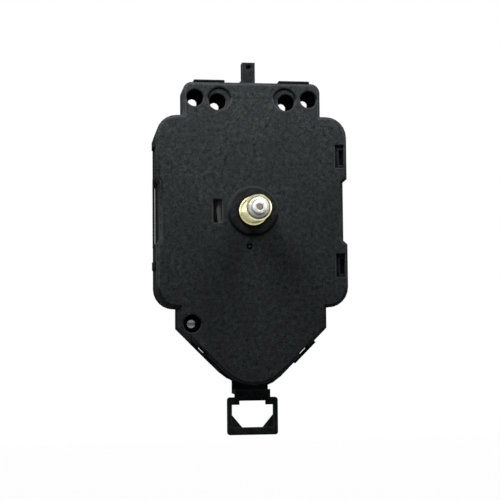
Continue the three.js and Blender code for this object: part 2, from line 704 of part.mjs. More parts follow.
// Hooked arm of the rear case that snaps over the ledge of a side pocket
function sideHook(z) {
  const low = z - sideArm.half;
  const high = z + sideArm.half;
  return [
    block(caseHalf - sideArm.inset, caseHalf, sideArm.reach, frontDepth + flangeDepth, low, high),
    block(caseHalf - sideArm.hookInset, caseHalf, sideArm.reach, sideArm.hookBack, low, high),
  ];
}

// Latch strip over the top edge of the tab, with ramped ends
function topStrip(side) {
  const bottom = tabTop - wall / 2;
  const top = tabTop + topLatch.proud;
  const outer = tabHalf - topLatch.inset;
  const inner = outer - topLatch.length;
  const shape = new THREE.Shape();
  shape.moveTo(inner, bottom);
  shape.lineTo(outer, bottom);
  shape.lineTo(outer - topLatch.proud, top);
  shape.lineTo(inner + topLatch.proud / 2, top);
  const strip = prism(shape, topLatch.front, frontDepth + seatGap + flangeDepth);
  return side > 0 ? strip : strip.mirror([1, 0, 0]);
}

function lugBody() {
  const back = frontDepth + seatGap + flangeDepth;
  const foot = tabTop - wall / 2;
  const lugTop = tabTop + lug.height;
  const lugFront = frontDepth - lug.lead;
  const shape = new THREE.Shape();
  shape.moveTo(-lug.half - lug.flare, foot);
  shape.lineTo(lug.half, foot);
  shape.lineTo(lug.half, lugTop);
  shape.lineTo(-lug.half, lugTop);
  shape.lineTo(-lug.half, tabTop + lug.flareHeight);
  shape.lineTo(-lug.half - lug.flare, tabTop + lug.flareHeight / 3);
  return prism(shape, lugFront, back)
    .subtract(rod(lugEye.radius, lugFront - overrun, lugFront + lugEye.depth, 0, lugTop - lugEye.below, coarse));
}

// Hand axis

// Bush with a collar on the boss, an undercut above it, and a chamfer at each end of its thread
function threadedBush() {
  const c = bush.chamfer;
  const bore = bush.crest - bush.wall;
  const root = bush.crest - bush.undercut;
  const neckTop = bush.collarTop + 2 * c;
  return turned([
    [bore, c - bush.tip],
    [bore + c, -bush.tip],
    [bush.crest - c, -bush.tip],
    [bush.crest, c - bush.tip],
    [bush.crest, -neckTop - c],
    [root, -neckTop],
    [root, -bush.collarTop],
    [bush.collar, -bush.collarTop],
    [bush.collar, -boss.height - seatGap],
    [bush.crest, -boss.height - seatGap],
    [bush.crest, skin],
    [bore, skin],
    [bore, c - bush.tip],
  ], 0, 0, fine);
}

// Tube along the hand axis with a rounded front rim
function handTube({ outer, tip, round }, bore, back) {
  return turned([
    [bore, round / 2 - tip],
    [bore + round / 2, -tip],
    [outer - round, -tip],
    [outer, round - tip],
    [outer, back],
    [bore, back],
    [bore, round / 2 - tip],
  ]);
}

const hourPhase = 0;
const minuteWorkPinionPhase = meshedPhase(hourTeeth, hourPhase, minuteWorkPinionTeeth, centre,
  minuteWorkPlace);
const minuteWorkPhase = 0;
const cannonPhase = meshedPhase(minuteWorkTeeth, minuteWorkPhase, cannonTeeth, minuteWorkPlace, centre);
const knobPhase = meshedPhase(minuteWorkTeeth, minuteWorkPhase, cannonTeeth, minuteWorkPlace, knobPlace);

function hourWheel() {
  const pitchRadius = (hourTeeth * hourModule) / 2;
  const wheel = toothed(hourTeeth, hourModule, hourPhase, hourWheelFront, hourWheelBack, centre);
  const bore = minuteTube.outer + tubeGap;
  const rimOuter = hourTip + hourRimShares.beyondTip * hourModule;
  const rimInner = rimOuter - hourRimShares.width * hourModule;
  return lightened(wheel, pitchRadius, hourWheelFront, hourWheelBack, centre)
    .add(tube(rimOuter, rimInner, skin + seatGap, hourWheelFront, 0, 0, fine))
    .subtract(rod(bore, 0, hourWheelBack + overrun))
    .add(handTube(hourTube, bore, hourWheelBack));
}

function minuteTubeBody() {
  const back = centreWheelBack + 2 * seatGap + clutch.thick;
  const bore = secondShaft.radius + shaftGap;
  return toothed(cannonTeeth, motionModule, cannonPhase, cannonFront, cannonBack, centre)
    .subtract(rod(bore, 0, back + overrun))
    .add(handTube(minuteTube, bore, back));
}

function minuteWorkWheel() {
  const pitchRadius = (minuteWorkTeeth * motionModule) / 2;
  const wheel = toothed(minuteWorkTeeth, motionModule, minuteWorkPhase, minuteWorkFront, minuteWorkBack,
    minuteWorkPlace);
  return lightened(wheel, pitchRadius, minuteWorkFront, minuteWorkBack, minuteWorkPlace)
    .add(toothed(minuteWorkPinionTeeth, hourModule, minuteWorkPinionPhase, hourWheelFront + seatGap,
      minuteWorkBack, minuteWorkPlace))
    .add(rod(arborRadius, skin / 2 + seatGap, motionPlateBack, ...minuteWorkPlace, coarse));
}

function settingKnob() {
  const step = (2 * Math.PI) / knobFlutes;
  const rim = [];
  for (let i = 0; i < knobFlutes; i += 1) {
    const valley = knob.radius - knob.fluteDepth;
    rim.push(new THREE.Vector2(knob.radius * Math.cos(i * step), knob.radius * Math.sin(i * step)));
    rim.push(new THREE.Vector2(valley * Math.cos((i + 0.5) * step), valley * Math.sin((i + 0.5) * step)));
  }
  const head = prism(new THREE.Shape(rim), wellFloorBack + 2 * seatGap, caseDepth + knob.proud)
    .translate([knobPlace[0], 0, knobPlace[1]]);
  return head
    .add(toothed(cannonTeeth, motionModule, knobPhase, cannonFront, cannonBack, knobPlace))
    .add(rod(knob.arbor, cannonBack, caseDepth, ...knobPlace, coarse))
    .add(rod(knob.pivot, skin / 2 + seatGap, cannonBack, ...knobPlace, coarse));
}

// Going train

const secondPhase = 0;
const secondPinionPhase = 0;
const fifthPinionPhase = meshedPhase(secondTeeth, secondPhase, fifthPinionTeeth, centre, fifthPlace);
const fifthPhase = 0;
const rotorPhase = meshedPhase(fifthTeeth, fifthPhase, rotorTeeth, fifthPlace, rotorPlace);
const thirdPhase = meshedPhase(secondPinionTeeth, secondPinionPhase, thirdTeeth, centre, thirdPlace);
const thirdPinionPhase = 0;
const centrePhase = meshedPhase(thirdPinionTeeth, thirdPinionPhase, centreTeeth, thirdPlace, centre);

function centreWheel() {
  const pitchRadius = (centreTeeth * centreModule) / 2;
  const wheel = toothed(centreTeeth, centreModule, centrePhase, centreWheelFront, centreWheelBack, centre);
  return lightened(wheel, pitchRadius, centreWheelFront, centreWheelBack, centre)
    .subtract(rod(minuteTube.outer + pivotGap, centreWheelFront - overrun, centreWheelBack + overrun));
}

// Three-armed spring washer that drives the minute tube and lets it slip when the hands are set
function clutchSpring() {
  const front = centreWheelBack + seatGap;
  const back = front + clutch.thick;
  const arms = [];
  for (let i = 0; i < clutchArms; i += 1) {
    const arm = block(-clutch.armHalf, clutch.armHalf, front, back, 0, clutch.reach);
    arms.push(arm.rotate([0, (360 * (i + 0.5)) / clutchArms, 0]));
  }
  return joinAll([rod(clutch.outer, front, back), ...arms])
    .subtract(rod(minuteTube.outer + pivotGap, front - overrun, back + overrun));
}

function thirdWheel() {
  const pitchRadius = (thirdTeeth * thirdModule) / 2;
  const wheel = toothed(thirdTeeth, thirdModule, thirdPhase, thirdWheelFront, thirdWheelBack, thirdPlace);
  return lightened(wheel, pitchRadius, thirdWheelFront, thirdWheelBack, thirdPlace)
    .add(toothed(thirdPinionTeeth, centreModule, thirdPinionPhase, thirdPinionFront, thirdWheelBack,
      thirdPlace))
    .add(rod(arborRadius, motionPlateFront, trainPlateBack - seatGap, ...thirdPlace, coarse));
}

function secondWheel() {
  const pitchRadius = (secondTeeth * secondModule) / 2;
  const wheel = toothed(secondTeeth, secondModule, secondPhase, secondWheelFront, secondWheelBack, centre);
  return lightened(wheel, pitchRadius, secondWheelFront, secondWheelBack, centre)
    .add(toothed(secondPinionTeeth, thirdModule, secondPinionPhase, secondPinionFront, secondWheelBack,
      centre))
    .subtract(rod(secondShaft.step + pivotGap / 2, 0, caseDepth, 0, 0, coarse));
}

function secondShaftBody() {
  return turned([
    [0, -secondShaft.tip],
    [secondShaft.radius - secondShaft.chamfer, -secondShaft.tip],
    [secondShaft.radius, secondShaft.chamfer - secondShaft.tip],
    [secondShaft.radius, level(shaftStepShare)],
    [secondShaft.step, level(shaftStepShare)],
    [secondShaft.step, trainPlateFront - seatGap],
    [secondShaft.pivot, trainPlateFront - seatGap],
    [secondShaft.pivot, trainPlateBack - seatGap],
    [0, trainPlateBack - seatGap],
  ], 0, 0, coarse);
}

function fifthWheel() {
  const pitchRadius = (fifthTeeth * fifthModule) / 2;
  const wheel = toothed(fifthTeeth, fifthModule, fifthPhase, fifthWheelFront, fifthWheelBack, fifthPlace);
  return lightened(wheel, pitchRadius, fifthWheelFront, fifthWheelBack, fifthPlace)
    .add(toothed(fifthPinionTeeth, secondModule, fifthPinionPhase, fifthPinionFront, fifthWheelBack,
      fifthPlace))
    .add(rod(arborRadius, motionPlateFront, trainPlateBack - seatGap, ...fifthPlace, coarse));
}

function rotorPinion() {
  return toothed(rotorTeeth, fifthModule, rotorPhase, rotorPinionFront, rotorPinionBack, rotorPlace)
    .add(rod(arborRadius, motionPlateFront, trainPlateBack - seatGap, ...rotorPlace, coarse));
}

function rotorMagnetBody() {
  return tube(magnetRadius, arborRadius + rotorBoreGap, rotorMagnetFront, rotorMagnetBack, ...rotorPlace);
}

// Plates

function motionPlate() {
  const arbors = [minuteWorkPlace, rotorPlace, thirdPlace, fifthPlace];
  const places = [...arbors, ...trainPosts, ...motionPosts, ...statorPosts];
  const plate = prism(plateOutline(places, plateMargin), motionPlateFront, motionPlateBack);
  const added = [];
  const cut = [rod(minuteTube.outer + seatGap, 0, caseDepth)];
  for (const [x, z] of trainPosts) {
    added.push(rod(postRadius, motionPlateFront, trainPlateFront - seatGap, x, z, coarse));
    added.push(rod(pegRadius, motionPlateFront, trainPlateBack, x, z, coarse));
  }
  for (const [x, z] of statorPosts) {
    added.push(rod(postRadius, motionPlateFront, statorFront - seatGap, x, z, coarse));
    added.push(rod(pegRadius, motionPlateFront, statorBack + seatGap, x, z, coarse));
  }
  for (const [x, z] of motionPosts) cut.push(rod(pegRadius + seatGap, 0, caseDepth, x, z, coarse));
  for (const place of arbors) cut.push(rod(arborRadius + pivotGap, 0, caseDepth, ...place, coarse));
  return cutAll(joinAll([plate, ...added]), cut);
}

function trainPlate() {
  const arbors = [rotorPlace, thirdPlace, fifthPlace];
  const cut = trainPosts.map(([x, z]) => rod(pegRadius + seatGap, 0, caseDepth, x, z, coarse));
  cut.push(rod(secondShaft.pivot + pivotGap, 0, caseDepth, 0, 0, coarse));
  for (const place of arbors) cut.push(rod(arborRadius + pivotGap, 0, caseDepth, ...place, coarse));
  const outline = plateOutline([...arbors, ...trainPosts], plateMargin);
  return cutAll(prism(outline, trainPlateFront, trainPlateBack), cut);
}

// Stepping motor

function statorPlate() {
  const [x, z] = rotorPlace;
  const hole = magnetRadius + stator.gap;
  const headHalf = hole + stator.rim;
  const armLeft = statorArmRight - stator.armWidth;
  const bodies = [
    block(x - headHalf, x + hole + stator.rightRim, statorFront, statorBack, z - headHalf, z + headHalf),
    block(armLeft, statorArmRight, statorFront, statorBack, statorBottom, statorTop),
    block(coreLeft, statorArmRight, statorFront, statorBack, statorTop - stator.armWidth, statorTop),
    block(coreLeft, statorArmRight, statorFront, statorBack, statorBottom, statorBottom + stator.armWidth),
  ];
  const holes = statorPosts.map(([px, pz]) => rod(pegRadius + seatGap, 0, caseDepth, px, pz, coarse));
  return cutAll(joinAll(bodies), [rod(hole, 0, caseDepth, x, z), ...holes]);
}

const coreFront = statorBack + seatGap;
const coilY = coreFront + coreThick / 2;
const coilBottom = statorBottom + stator.armWidth + bobbin.end;
const coilTop = statorTop - stator.armWidth - bobbin.end;

function coilCore() {
  return block(coreLeft, coreRight, coreFront, coreFront + coreThick, statorBottom, statorTop);
}

function coilBobbin() {
  const sleeveX = coreHalf + sleeve;
  const sleeveY = coreThick / 2 + sleeve;
  const flange = (z0, z1) => block(coilX - bobbinFlange, coilX + bobbinFlange, coilY - bobbinFlange,
    coilY + bobbinFlange, z0, z1);
  return block(coilX - sleeveX, coilX + sleeveX, coilY - sleeveY, coilY + sleeveY, coilBottom, coilTop)
    .add(flange(coilBottom, coilBottom + bobbin.flangeThick))
    .add(flange(coilTop - bobbin.flangeThick, coilTop))
    .subtract(block(coreLeft - seatGap, coreRight + seatGap, coilY - coreThick / 2 - seatGap,
      coilY + coreThick / 2 + seatGap, coilBottom - overrun, coilTop + overrun));
}

function coilWinding() {
  const sleeveX = coreHalf + sleeve + seatGap;
  const sleeveY = coreThick / 2 + sleeve + seatGap;
  const low = coilBottom + bobbin.flangeThick + seatGap;
  const high = coilTop - bobbin.flangeThick - seatGap;
  const wound = rod(bobbinFlange - bobbin.wireInset, -high, -low).rotate([-90, 0, 0]);
  const passage = block(coilX - sleeveX, coilX + sleeveX, coilY - sleeveY, coilY + sleeveY, low - overrun,
    high + overrun);
  return wound.translate([coilX, coilY, 0]).subtract(passage);
}

// Circuit board

function circuitBoard() {
  const plate = block(boardLeft, boardRight, boardFront, boardBack, boardBottom, boardTop);
  return cutAll(plate, boardPosts.map(([x, z]) => rod(pegRadius + seatGap, 0, caseDepth, x, z, coarse)));
}

function quartzCrystal() {
  const can = rod(crystal.radius, -crystal.length / 2, crystal.length / 2, 0, 0, coarse);
  return can.rotate([0, 0, 90])
    .translate([crystalX, boardFront - crystal.radius - seatGap, boardBottom + crystal.rise]);
}

function controlChip() {
  const back = boardFront - seatGap;
  const profile = [[0, back - chip.height]];
  for (let i = 1; i <= cornerSegments; i += 1) {
    const angle = (i / cornerSegments) * (Math.PI / 2);
    profile.push([chip.radius * Math.sin(angle), back - chip.height * Math.cos(angle)]);
  }
  profile.push([0, back]);
  return turned(profile, chipX, boardMiddle, coarse);
}

// Battery contacts, one at each end of the bay, with tails down to the board

const tailBack = wellFloorFront - contactTail.wellGap;
const tailFront = tailBack - contactTail.width;
const tailBottom = boardTop - contactTail.drop;
const bladeFront = bayFloorBack + contact.floorGap;
const bladeBack = caseDepth - contact.backGap;
const cellAxisZ = (bayBottom + bayTop) / 2;
const cellAxisY = (bladeFront + bladeBack) / 2;

function contactBlade(side) {
  const inner = side * contactX;
  const outer = side * (contactX + contact.thick);
  const bladeTop = bayTop - contact.above;
  return block(inner, outer, bladeFront, bladeBack, bayBottom + contact.below, bladeTop)
    .add(block(inner, outer, tailFront, tailBack, tailBottom, bladeTop));
}

function contactPositive() {
  const nub = rod(contactNub.radius, -contactNub.height, contact.thick, 0, 0, coarse).rotate([0, 0, -90])
    .translate([contactX, cellAxisY, cellAxisZ]);
  return contactBlade(1).add(nub)
    .add(block(boardRight + seatGap, contactX + contact.thick, tailFront, tailBack, tailBottom,
      tailBottom + contact.thick));
}

function contactNegative() {
  const spring = turned([
    [0, -contact.thick],
    [contactNub.radius, -contact.thick],
    [contactNub.radius / 2, contactNub.tip],
    [0, contactNub.tip],
  ], 0, 0, coarse);
  return contactBlade(-1).add(spring.rotate([0, 0, -90]).translate([-contactX, cellAxisY, cellAxisZ]));
}

// Case screw

function caseScrew() {
  const seat = screwSeat - seatGap;
  const top = seat - screw.headHeight;
  const [x, z] = screwPlace;
  const slot = block(x - screw.head, x + screw.head, top - overrun, top + screwSlot.depth,
    z - screwSlot.half, z + screwSlot.half);
  return rod(screw.head, top, seat, ...screwPlace)
    .add(rod(screw.shank, top, screwEnd, ...screwPlace, coarse))
    .subtract(slot);
}

// Pendulum drive

function leverOutline() {
  const { upperHalf, lowerHalf } = pendulumArm;
  const widenZ = pendulumArm.widenAbove - chinTip;
  const shape = new THREE.Shape();
  shape.moveTo(-lowerHalf, leverBottom);
  shape.lineTo(lowerHalf, leverBottom);
  shape.lineTo(lowerHalf, widenZ);
  shape.lineTo(upperHalf, widenZ + lowerHalf - upperHalf);
  shape.lineTo(upperHalf, pivotZ);
  shape.lineTo(-upperHalf, pivotZ);
  shape.lineTo(-upperHalf, widenZ + lowerHalf - upperHalf);
  shape.lineTo(-lowerHalf, widenZ);
  return shape;
}

// Opening of the loop: stepped blocks at its upper corners, sloping gussets at its lower ones
function loopOpening() {
  const gussetTop = loopInnerBottom + loopGusset.rise;
  const gussetHalf = loopInnerHalf - loopGusset.run;
  const blockBottom = loopInnerTop - loopBlock.drop;
  const shape = new THREE.Shape();
  shape.moveTo(-gussetHalf, loopInnerBottom);
  shape.lineTo(gussetHalf, loopInnerBottom);
  shape.lineTo(loopInnerHalf, gussetTop);
  shape.lineTo(loopInnerHalf, blockBottom);
  shape.lineTo(loopBlock.half, blockBottom);
  shape.lineTo(loopBlock.half, loopInnerTop);
  shape.lineTo(-loopBlock.half, loopInnerTop);
  shape.lineTo(-loopBlock.half, blockBottom);
  shape.lineTo(-loopInnerHalf, blockBottom);
  shape.lineTo(-loopInnerHalf, gussetTop);
  return shape;
}

function gussetSink(side) {
  const shape = new THREE.Shape();
  shape.moveTo(loopInnerHalf - loopGusset.run, loopInnerBottom);
  shape.lineTo(loopInnerHalf, loopInnerBottom);
  shape.lineTo(loopInnerHalf, loopInnerBottom + loopGusset.rise);
  const cutter = prism(shape, loopFront - overrun, loopFront + loopGusset.sink);
  return side > 0 ? cutter : cutter.mirror([1, 0, 0]);
}

function pendulumLever() {
  const cupRadius = pendulumMagnet.radius + seatGap;
  const loopBack = loopFront + loop.depth;
  const frame = prism(roundedRectangle(-loop.half, loop.half, loopBottom, loopTop, loop.corner), loopFront,
    loopBack);
  return joinAll([
    prism(leverOutline(), leverFront, leverBack),
    rod(pendulumPin.hub, leverHubFront, leverHubBack, 0, pivotZ),
    rod(cupRadius + pendulumMagnet.cupWall, pendulumMagnetFront + pendulumMagnet.cupWall, leverBack, 0,
      pendulumMagnetZ),
    block(-neck.half, neck.half, loopFront, leverBack, leverBottom, leverBottom + loop.depth),
    block(-neck.half, neck.half, loopFront, loopBack, loopTop - loop.corner, -chinTip - neck.below),
    frame.subtract(prism(loopOpening(), 0, caseDepth)),
  ])
    .subtract(rod(pendulumPin.radius + pivotGap, 0, caseDepth, 0, pivotZ, coarse))
    .subtract(rod(cupRadius, 0, leverFront, 0, pendulumMagnetZ))
    .subtract(gussetSink(1))
    .subtract(gussetSink(-1));
}

function pendulumMagnetBody() {
  return rod(pendulumMagnet.radius, pendulumMagnetFront, leverFront - seatGap, 0, pendulumMagnetZ);
}

function pendulumPinBody() {
  return rod(pendulumPin.radius, pendulumPinFront, pendulumPinBack, 0, pivotZ, coarse);
}

function pendulumCoilBobbin() {
  const { hub, bore, disc } = pendulumCoil;
  const front = skin + pendulumCoil.floorGap;
  const back = pendulumCoilBack;
  return turned([
    [bore, front],
    [coilFlange, front],
    [coilFlange, front + disc],
    [hub, front + disc],
    [hub, back - disc],
    [coilFlange, back - disc],
    [coilFlange, back],
    [bore, back],
    [bore, front],
  ], 0, pendulumMagnetZ);
}

function pendulumCoilWinding() {
  const { wireInset, hub, floorGap, disc } = pendulumCoil;
  return tube(coilFlange - wireInset, hub + seatGap, skin + floorGap + disc + seatGap,
    pendulumCoilBack - disc - seatGap, 0, pendulumMagnetZ);
}

// Assembly

const movement = new THREE.Group();
movement.name = "quartz_pendulum_movement";

const pieces = [
  ["front_case", blackPlastic, frontCase],
  ["rear_case", blackPlastic, rearCase],
  ["threaded_bush", brass, threadedBush],
  ["hour_wheel", whitePlastic, hourWheel],
  ["minute_tube", whitePlastic, minuteTubeBody],
  ["minute_work_wheel", creamPlastic, minuteWorkWheel],
  ["setting_knob", whitePlastic, settingKnob],
  ["motion_plate", platePlastic, motionPlate],
  ["train_plate", platePlastic, trainPlate],
  ["centre_wheel", whitePlastic, centreWheel],
  ["clutch_spring", springSteel, clutchSpring],
  ["third_wheel", creamPlastic, thirdWheel],
  ["second_wheel", redPlastic, secondWheel],
  ["second_shaft", darkSteel, secondShaftBody],
  ["fifth_wheel", whitePlastic, fifthWheel],
  ["rotor_pinion", greyPlastic, rotorPinion],
  ["rotor_magnet", ferrite, rotorMagnetBody],
  ["stator_plate", siliconSteel, statorPlate],
  ["coil_core", siliconSteel, coilCore],
  ["coil_bobbin", creamPlastic, coilBobbin],
  ["coil_winding", copper, coilWinding],
  ["circuit_board", boardGreen, circuitBoard],
  ["quartz_crystal", steel, quartzCrystal],
  ["control_chip", chipBlack, controlChip],
  ["contact_positive", springSteel, contactPositive],
  ["contact_negative", springSteel, contactNegative],
  ["case_screw", steel, caseScrew],
  ["pendulum_lever", blackPlastic, pendulumLever],
  ["pendulum_magnet", ferrite, pendulumMagnetBody],
  ["pendulum_pin", steel, pendulumPinBody],
  ["pendulum_coil_bobbin", creamPlastic, pendulumCoilBobbin],
  ["pendulum_coil_winding", copper, pendulumCoilWinding],
];

for (const [name, material, build] of pieces) movement.add(mesh(name, material, build()));

export default movement;
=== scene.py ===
"""Quartz pendulum clock movement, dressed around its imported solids. Metres, origin on the hand axis."""
import json
import math

import bmesh
import bpy
from mathutils import Matrix, Vector


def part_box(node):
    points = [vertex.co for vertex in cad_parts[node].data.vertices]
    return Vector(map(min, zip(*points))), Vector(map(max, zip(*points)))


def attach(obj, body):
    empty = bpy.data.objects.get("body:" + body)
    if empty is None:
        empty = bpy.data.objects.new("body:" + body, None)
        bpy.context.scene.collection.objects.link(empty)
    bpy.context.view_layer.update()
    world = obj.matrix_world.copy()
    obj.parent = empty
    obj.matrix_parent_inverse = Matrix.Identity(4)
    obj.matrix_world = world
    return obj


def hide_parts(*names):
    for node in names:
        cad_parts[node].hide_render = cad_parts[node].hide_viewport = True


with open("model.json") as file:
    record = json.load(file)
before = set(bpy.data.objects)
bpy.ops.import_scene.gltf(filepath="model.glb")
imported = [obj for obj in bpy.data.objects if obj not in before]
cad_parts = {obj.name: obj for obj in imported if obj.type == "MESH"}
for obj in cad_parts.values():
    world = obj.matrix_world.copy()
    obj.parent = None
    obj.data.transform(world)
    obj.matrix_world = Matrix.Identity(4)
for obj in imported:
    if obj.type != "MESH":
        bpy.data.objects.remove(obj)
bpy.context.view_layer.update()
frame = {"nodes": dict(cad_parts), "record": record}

scene = bpy.context.scene
nodes = frame["nodes"]
MM = 0.001

# Camera, fitted to the photograph
CAMERA_PLACE = Vector((-50.7, -355.3, -35.6)) * MM
CAMERA_YAW = math.radians(7.967)
CAMERA_PITCH = math.radians(3.877)
CAMERA_ROLL = math.radians(-0.49)
CAMERA_LENS = 89.53
CAMERA_SENSOR = 36
CAMERA_NEAR = 0.01
CAMERA_FAR = 20

# Floor and surroundings
FLOOR_DROP = 0.26
FLOOR_HALF = 3.0
FLOOR_COLOUR = (0.72, 0.72, 0.72, 1)
FLOOR_ROUGHNESS = 0.9
FLOOR_GLOW = 0.9
AMBIENT = 0.03
WHITE = (1, 1, 1, 1)

# Square lamps: place, side, power in watts, and the point that each one faces
HAND_AXIS = (0.0, 0.0, 0.0)
FACE_MIDDLE = (0.0, 0.0, 0.01)
LAMPS = {
    "left_key": {"place": (-0.055, -0.056, 0.100), "side": 0.06, "power": 0.205, "aim": FACE_MIDDLE},
    "right_key": {"place": (0.045, -0.056, 0.100), "side": 0.06, "power": 0.133, "aim": FACE_MIDDLE},
    "left_light": {"place": (-0.50, 0.05, 0.10), "side": 0.35, "power": 1.7, "aim": HAND_AXIS},
    "right_light": {"place": (0.50, 0.05, 0.10), "side": 0.35, "power": 1.9, "aim": HAND_AXIS},
    "back_light": {"place": (0.04, 0.25, 0.08), "side": 0.12, "power": 0.58, "aim": HAND_AXIS},
}

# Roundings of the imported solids, and how their meshes are cleaned for them
ROUNDINGS = {
    "front_case": 0.3 * MM, "rear_case": 0.16 * MM, "hour_wheel": 0.08 * MM, "minute_tube": 0.08 * MM,
    "second_shaft": 0.06 * MM, "setting_knob": 0.12 * MM, "case_screw": 0.3 * MM,
    "pendulum_lever": 0.14 * MM, "contact_positive": 0.05 * MM, "contact_negative": 0.05 * MM,
}
PLAIN_ROUNDING = 0.05 * MM
WIDE_ROUNDING = 0.2 * MM
WELD = 0.002 * MM
FLAT_TURN = math.radians(0.6)
SHARP_TURN = math.radians(32)
THREAD_SHARP_TURN = math.radians(40)

# Threaded bush: radii, and places along the hand axis, which counts up towards the back
THREAD_CREST = 3.78 * MM
THREAD_ROOT = 3.5 * MM
THREAD_PITCH = 0.75 * MM
THREAD_FLANK_SHARE = 1.15
THREAD_ROOT_FLAT_SHARE = 0.02
THREAD_RUN_IN = 0.5 * THREAD_PITCH
THREAD_RUN_OUT = 0.3 * THREAD_PITCH
THREAD_TIP_SHARE = 0.6
BUSH_BORE = 3.15 * MM
BUSH_FOOT = 1.4 * MM
BUSH_TIP = -11.3 * MM
BUSH_TIP_CHAMFER = 0.25 * MM
NECK_TOP = -2.4 * MM
COLLAR_TOP = -1.9 * MM
COLLAR_RADIUS = 4.2 * MM
COLLAR_TOP_CHAMFER = 0.12 * MM
COLLAR_FOOT_CHAMFER = 0.1 * MM
COLLAR_GAP = 0.15 * MM

# Slots in the chin, and the bars that narrow them, across the chin's edge with its outside below zero
CHIN_SLOPE = math.radians(45)
CHIN_EDGE = 39.1 * MM
SLOT_ALONG = -18.17 * MM
SLOT_LENGTH = 3.4 * MM
SLOT_BAR_DEPTH = (0.9 * MM, 1.9 * MM)
RIGHT_LEDGE = (-0.5 * MM, 0.24 * MM)
RIGHT_STOP = (-0.5 * MM, 0.7 * MM)
RIGHT_STOP_LENGTH = 0.8 * MM
RIGHT_STOP_ROOT = 0.1 * MM
LEFT_OUTER_LEDGE = (-0.5 * MM, -0.15 * MM)
LEFT_INNER_LEDGE = (0.02 * MM, 0.65 * MM)

# Rib behind the left strap: across, in depth and in height
STRAP_RIB = ((-28.3 * MM, -27.91 * MM), (8.8 * MM, 10.2 * MM), (-9.4 * MM, 9.5 * MM))

# Steps in the latch pockets of the right side, in height from the middle of each pocket
POCKET_MIDDLES = {"upper": 16 * MM, "lower": -16 * MM}
POCKET_STEP_DEPTH = (0.7 * MM, 1.6 * MM)
POCKET_SIDE_STEP = (24.3 * MM, 25.65 * MM)
POCKET_END_STEP = (25.65 * MM, 27.2 * MM)
POCKET_TOP_STEP = (2.1 * MM, 3.7 * MM)
POCKET_BOTTOM_STEP = (-3.2 * MM, -2.2 * MM)

# Painted shade: in the ring-shaped moulding mark, on the boss, round the bush's foot, and on the hour wheel
# behind its tube
MARK_PLACE = (-1.06 * MM, 0.0, -10.3 * MM)
MARK_INSIDE = (0.3 * MM, 0.45 * MM)
MARK_OUTSIDE = (1.0 * MM, 0.85 * MM)
MARK_SHADE_SHARE = 0.85
BOSS_RISE = (-0.1 * MM, -0.3 * MM)
BOSS_TONE_SHARE = 0.42
BOSS_SHADE_SHARE = 0.3
FOOT_SHADOW_REACH = (COLLAR_RADIUS + 0.9 * MM, COLLAR_RADIUS + 0.1 * MM)
FOOT_SHADOW_SHARE = 0.8
WHEEL_PAINTED_SHADE_DEPTH = 1.4 * MM

# How strongly the shared effects show on moulded plastic
TINT_SHARE = 0.35
DRIFT_RANGE = (0.35, 0.65)
DRIFT_SHARE = 0.4
DRIFT_DARK_SHARE = 0.8
# Paler edges are wear, and a painted highlight where thinned below; the darker colour under down-facing
# edges is painted shade
WEAR_AND_HIGHLIGHT_SHARE = 0.8
UNDER_EDGE_SHADE_SHARE = 0.9
UNDER_EDGE_SHADE_DARK_SHARE = 0.15
GRAIN_STRENGTH = 0.8
SCATTER_REACH = 8.0 * MM

# Metals: relief of the marks that working leaves, and how much brighter rubbed edges are
TURNING_STRENGTH = 0.5
ROLLING_STRENGTH = 0.4
METAL_RELIEF = 0.004 * MM
METAL_RUBBED_SHARE = 1.12


# Shader node helpers

def new_group(name, inputs, outputs):
    """An empty node group with named sockets: inputs are (name, kind, default), outputs (name, kind)."""
    group = bpy.data.node_groups.new(name, "ShaderNodeTree")
    for label, kind, default in inputs:
        socket = group.interface.new_socket(label, in_out="INPUT", socket_type="NodeSocket" + kind)
        socket.default_value = default
    for label, kind in outputs:
        group.interface.new_socket(label, in_out="OUTPUT", socket_type="NodeSocket" + kind)
    return group, group.nodes.new("NodeGroupInput"), group.nodes.new("NodeGroupOutput")


def add(tree, kind, values=(), **settings):
    """A new node with its settings and the values of its named or numbered input sockets."""
    node = tree.nodes.new("ShaderNode" + kind)
    for key, value in settings.items():
        setattr(node, key, value)
    for key, value in dict(values).items():
        node.inputs[key].default_value = value
    return node


def math_node(tree, operation, first, second=None, clamp=False):
    """A Math node whose inputs are sockets or numbers."""
    node = add(tree, "Math", operation=operation, use_clamp=clamp)
    for index, value in enumerate((first, second)):
        if isinstance(value, bpy.types.NodeSocket):
            tree.links.new(value, node.inputs[index])
        elif value is not None:
            node.inputs[index].default_value = value
    return node.outputs[0]


def ranged(tree, value, low, high, to_low=0.0, to_high=1.0):
    """A value carried over from one range to another, and held at its ends."""
    node = add(tree, "MapRange", {"From Min": low, "From Max": high, "To Min": to_low, "To Max": to_high})
    tree.links.new(value, node.inputs["Value"])
    return node.outputs["Result"]


def share_of(tree, mask, share):
    """A mask that reaches a share where it reached 1."""
    return ranged(tree, mask, 0.0, 1.0, 0.0, share)


def from_y_axis(tree, place):
    """Distance of a place from the Y axis, and how far along it the place is."""
    apart = add(tree, "SeparateXYZ")
    tree.links.new(place, apart.inputs[0])
    x, y, z = (apart.outputs[label] for label in "XYZ")
    squares = math_node(tree, "ADD", math_node(tree, "MULTIPLY", x, x), math_node(tree, "MULTIPLY", z, z))
    return math_node(tree, "SQRT", squares), y


def kinds_of_ray(tree, *kinds):
    """1 for light rays of the named kinds."""
    path = add(tree, "LightPath")
    seen = path.outputs["Is " + kinds[0] + " Ray"]
    for kind in kinds[1:]:
        seen = math_node(tree, "MAXIMUM", seen, path.outputs["Is " + kind + " Ray"])
    return seen


# Effects shared by several materials

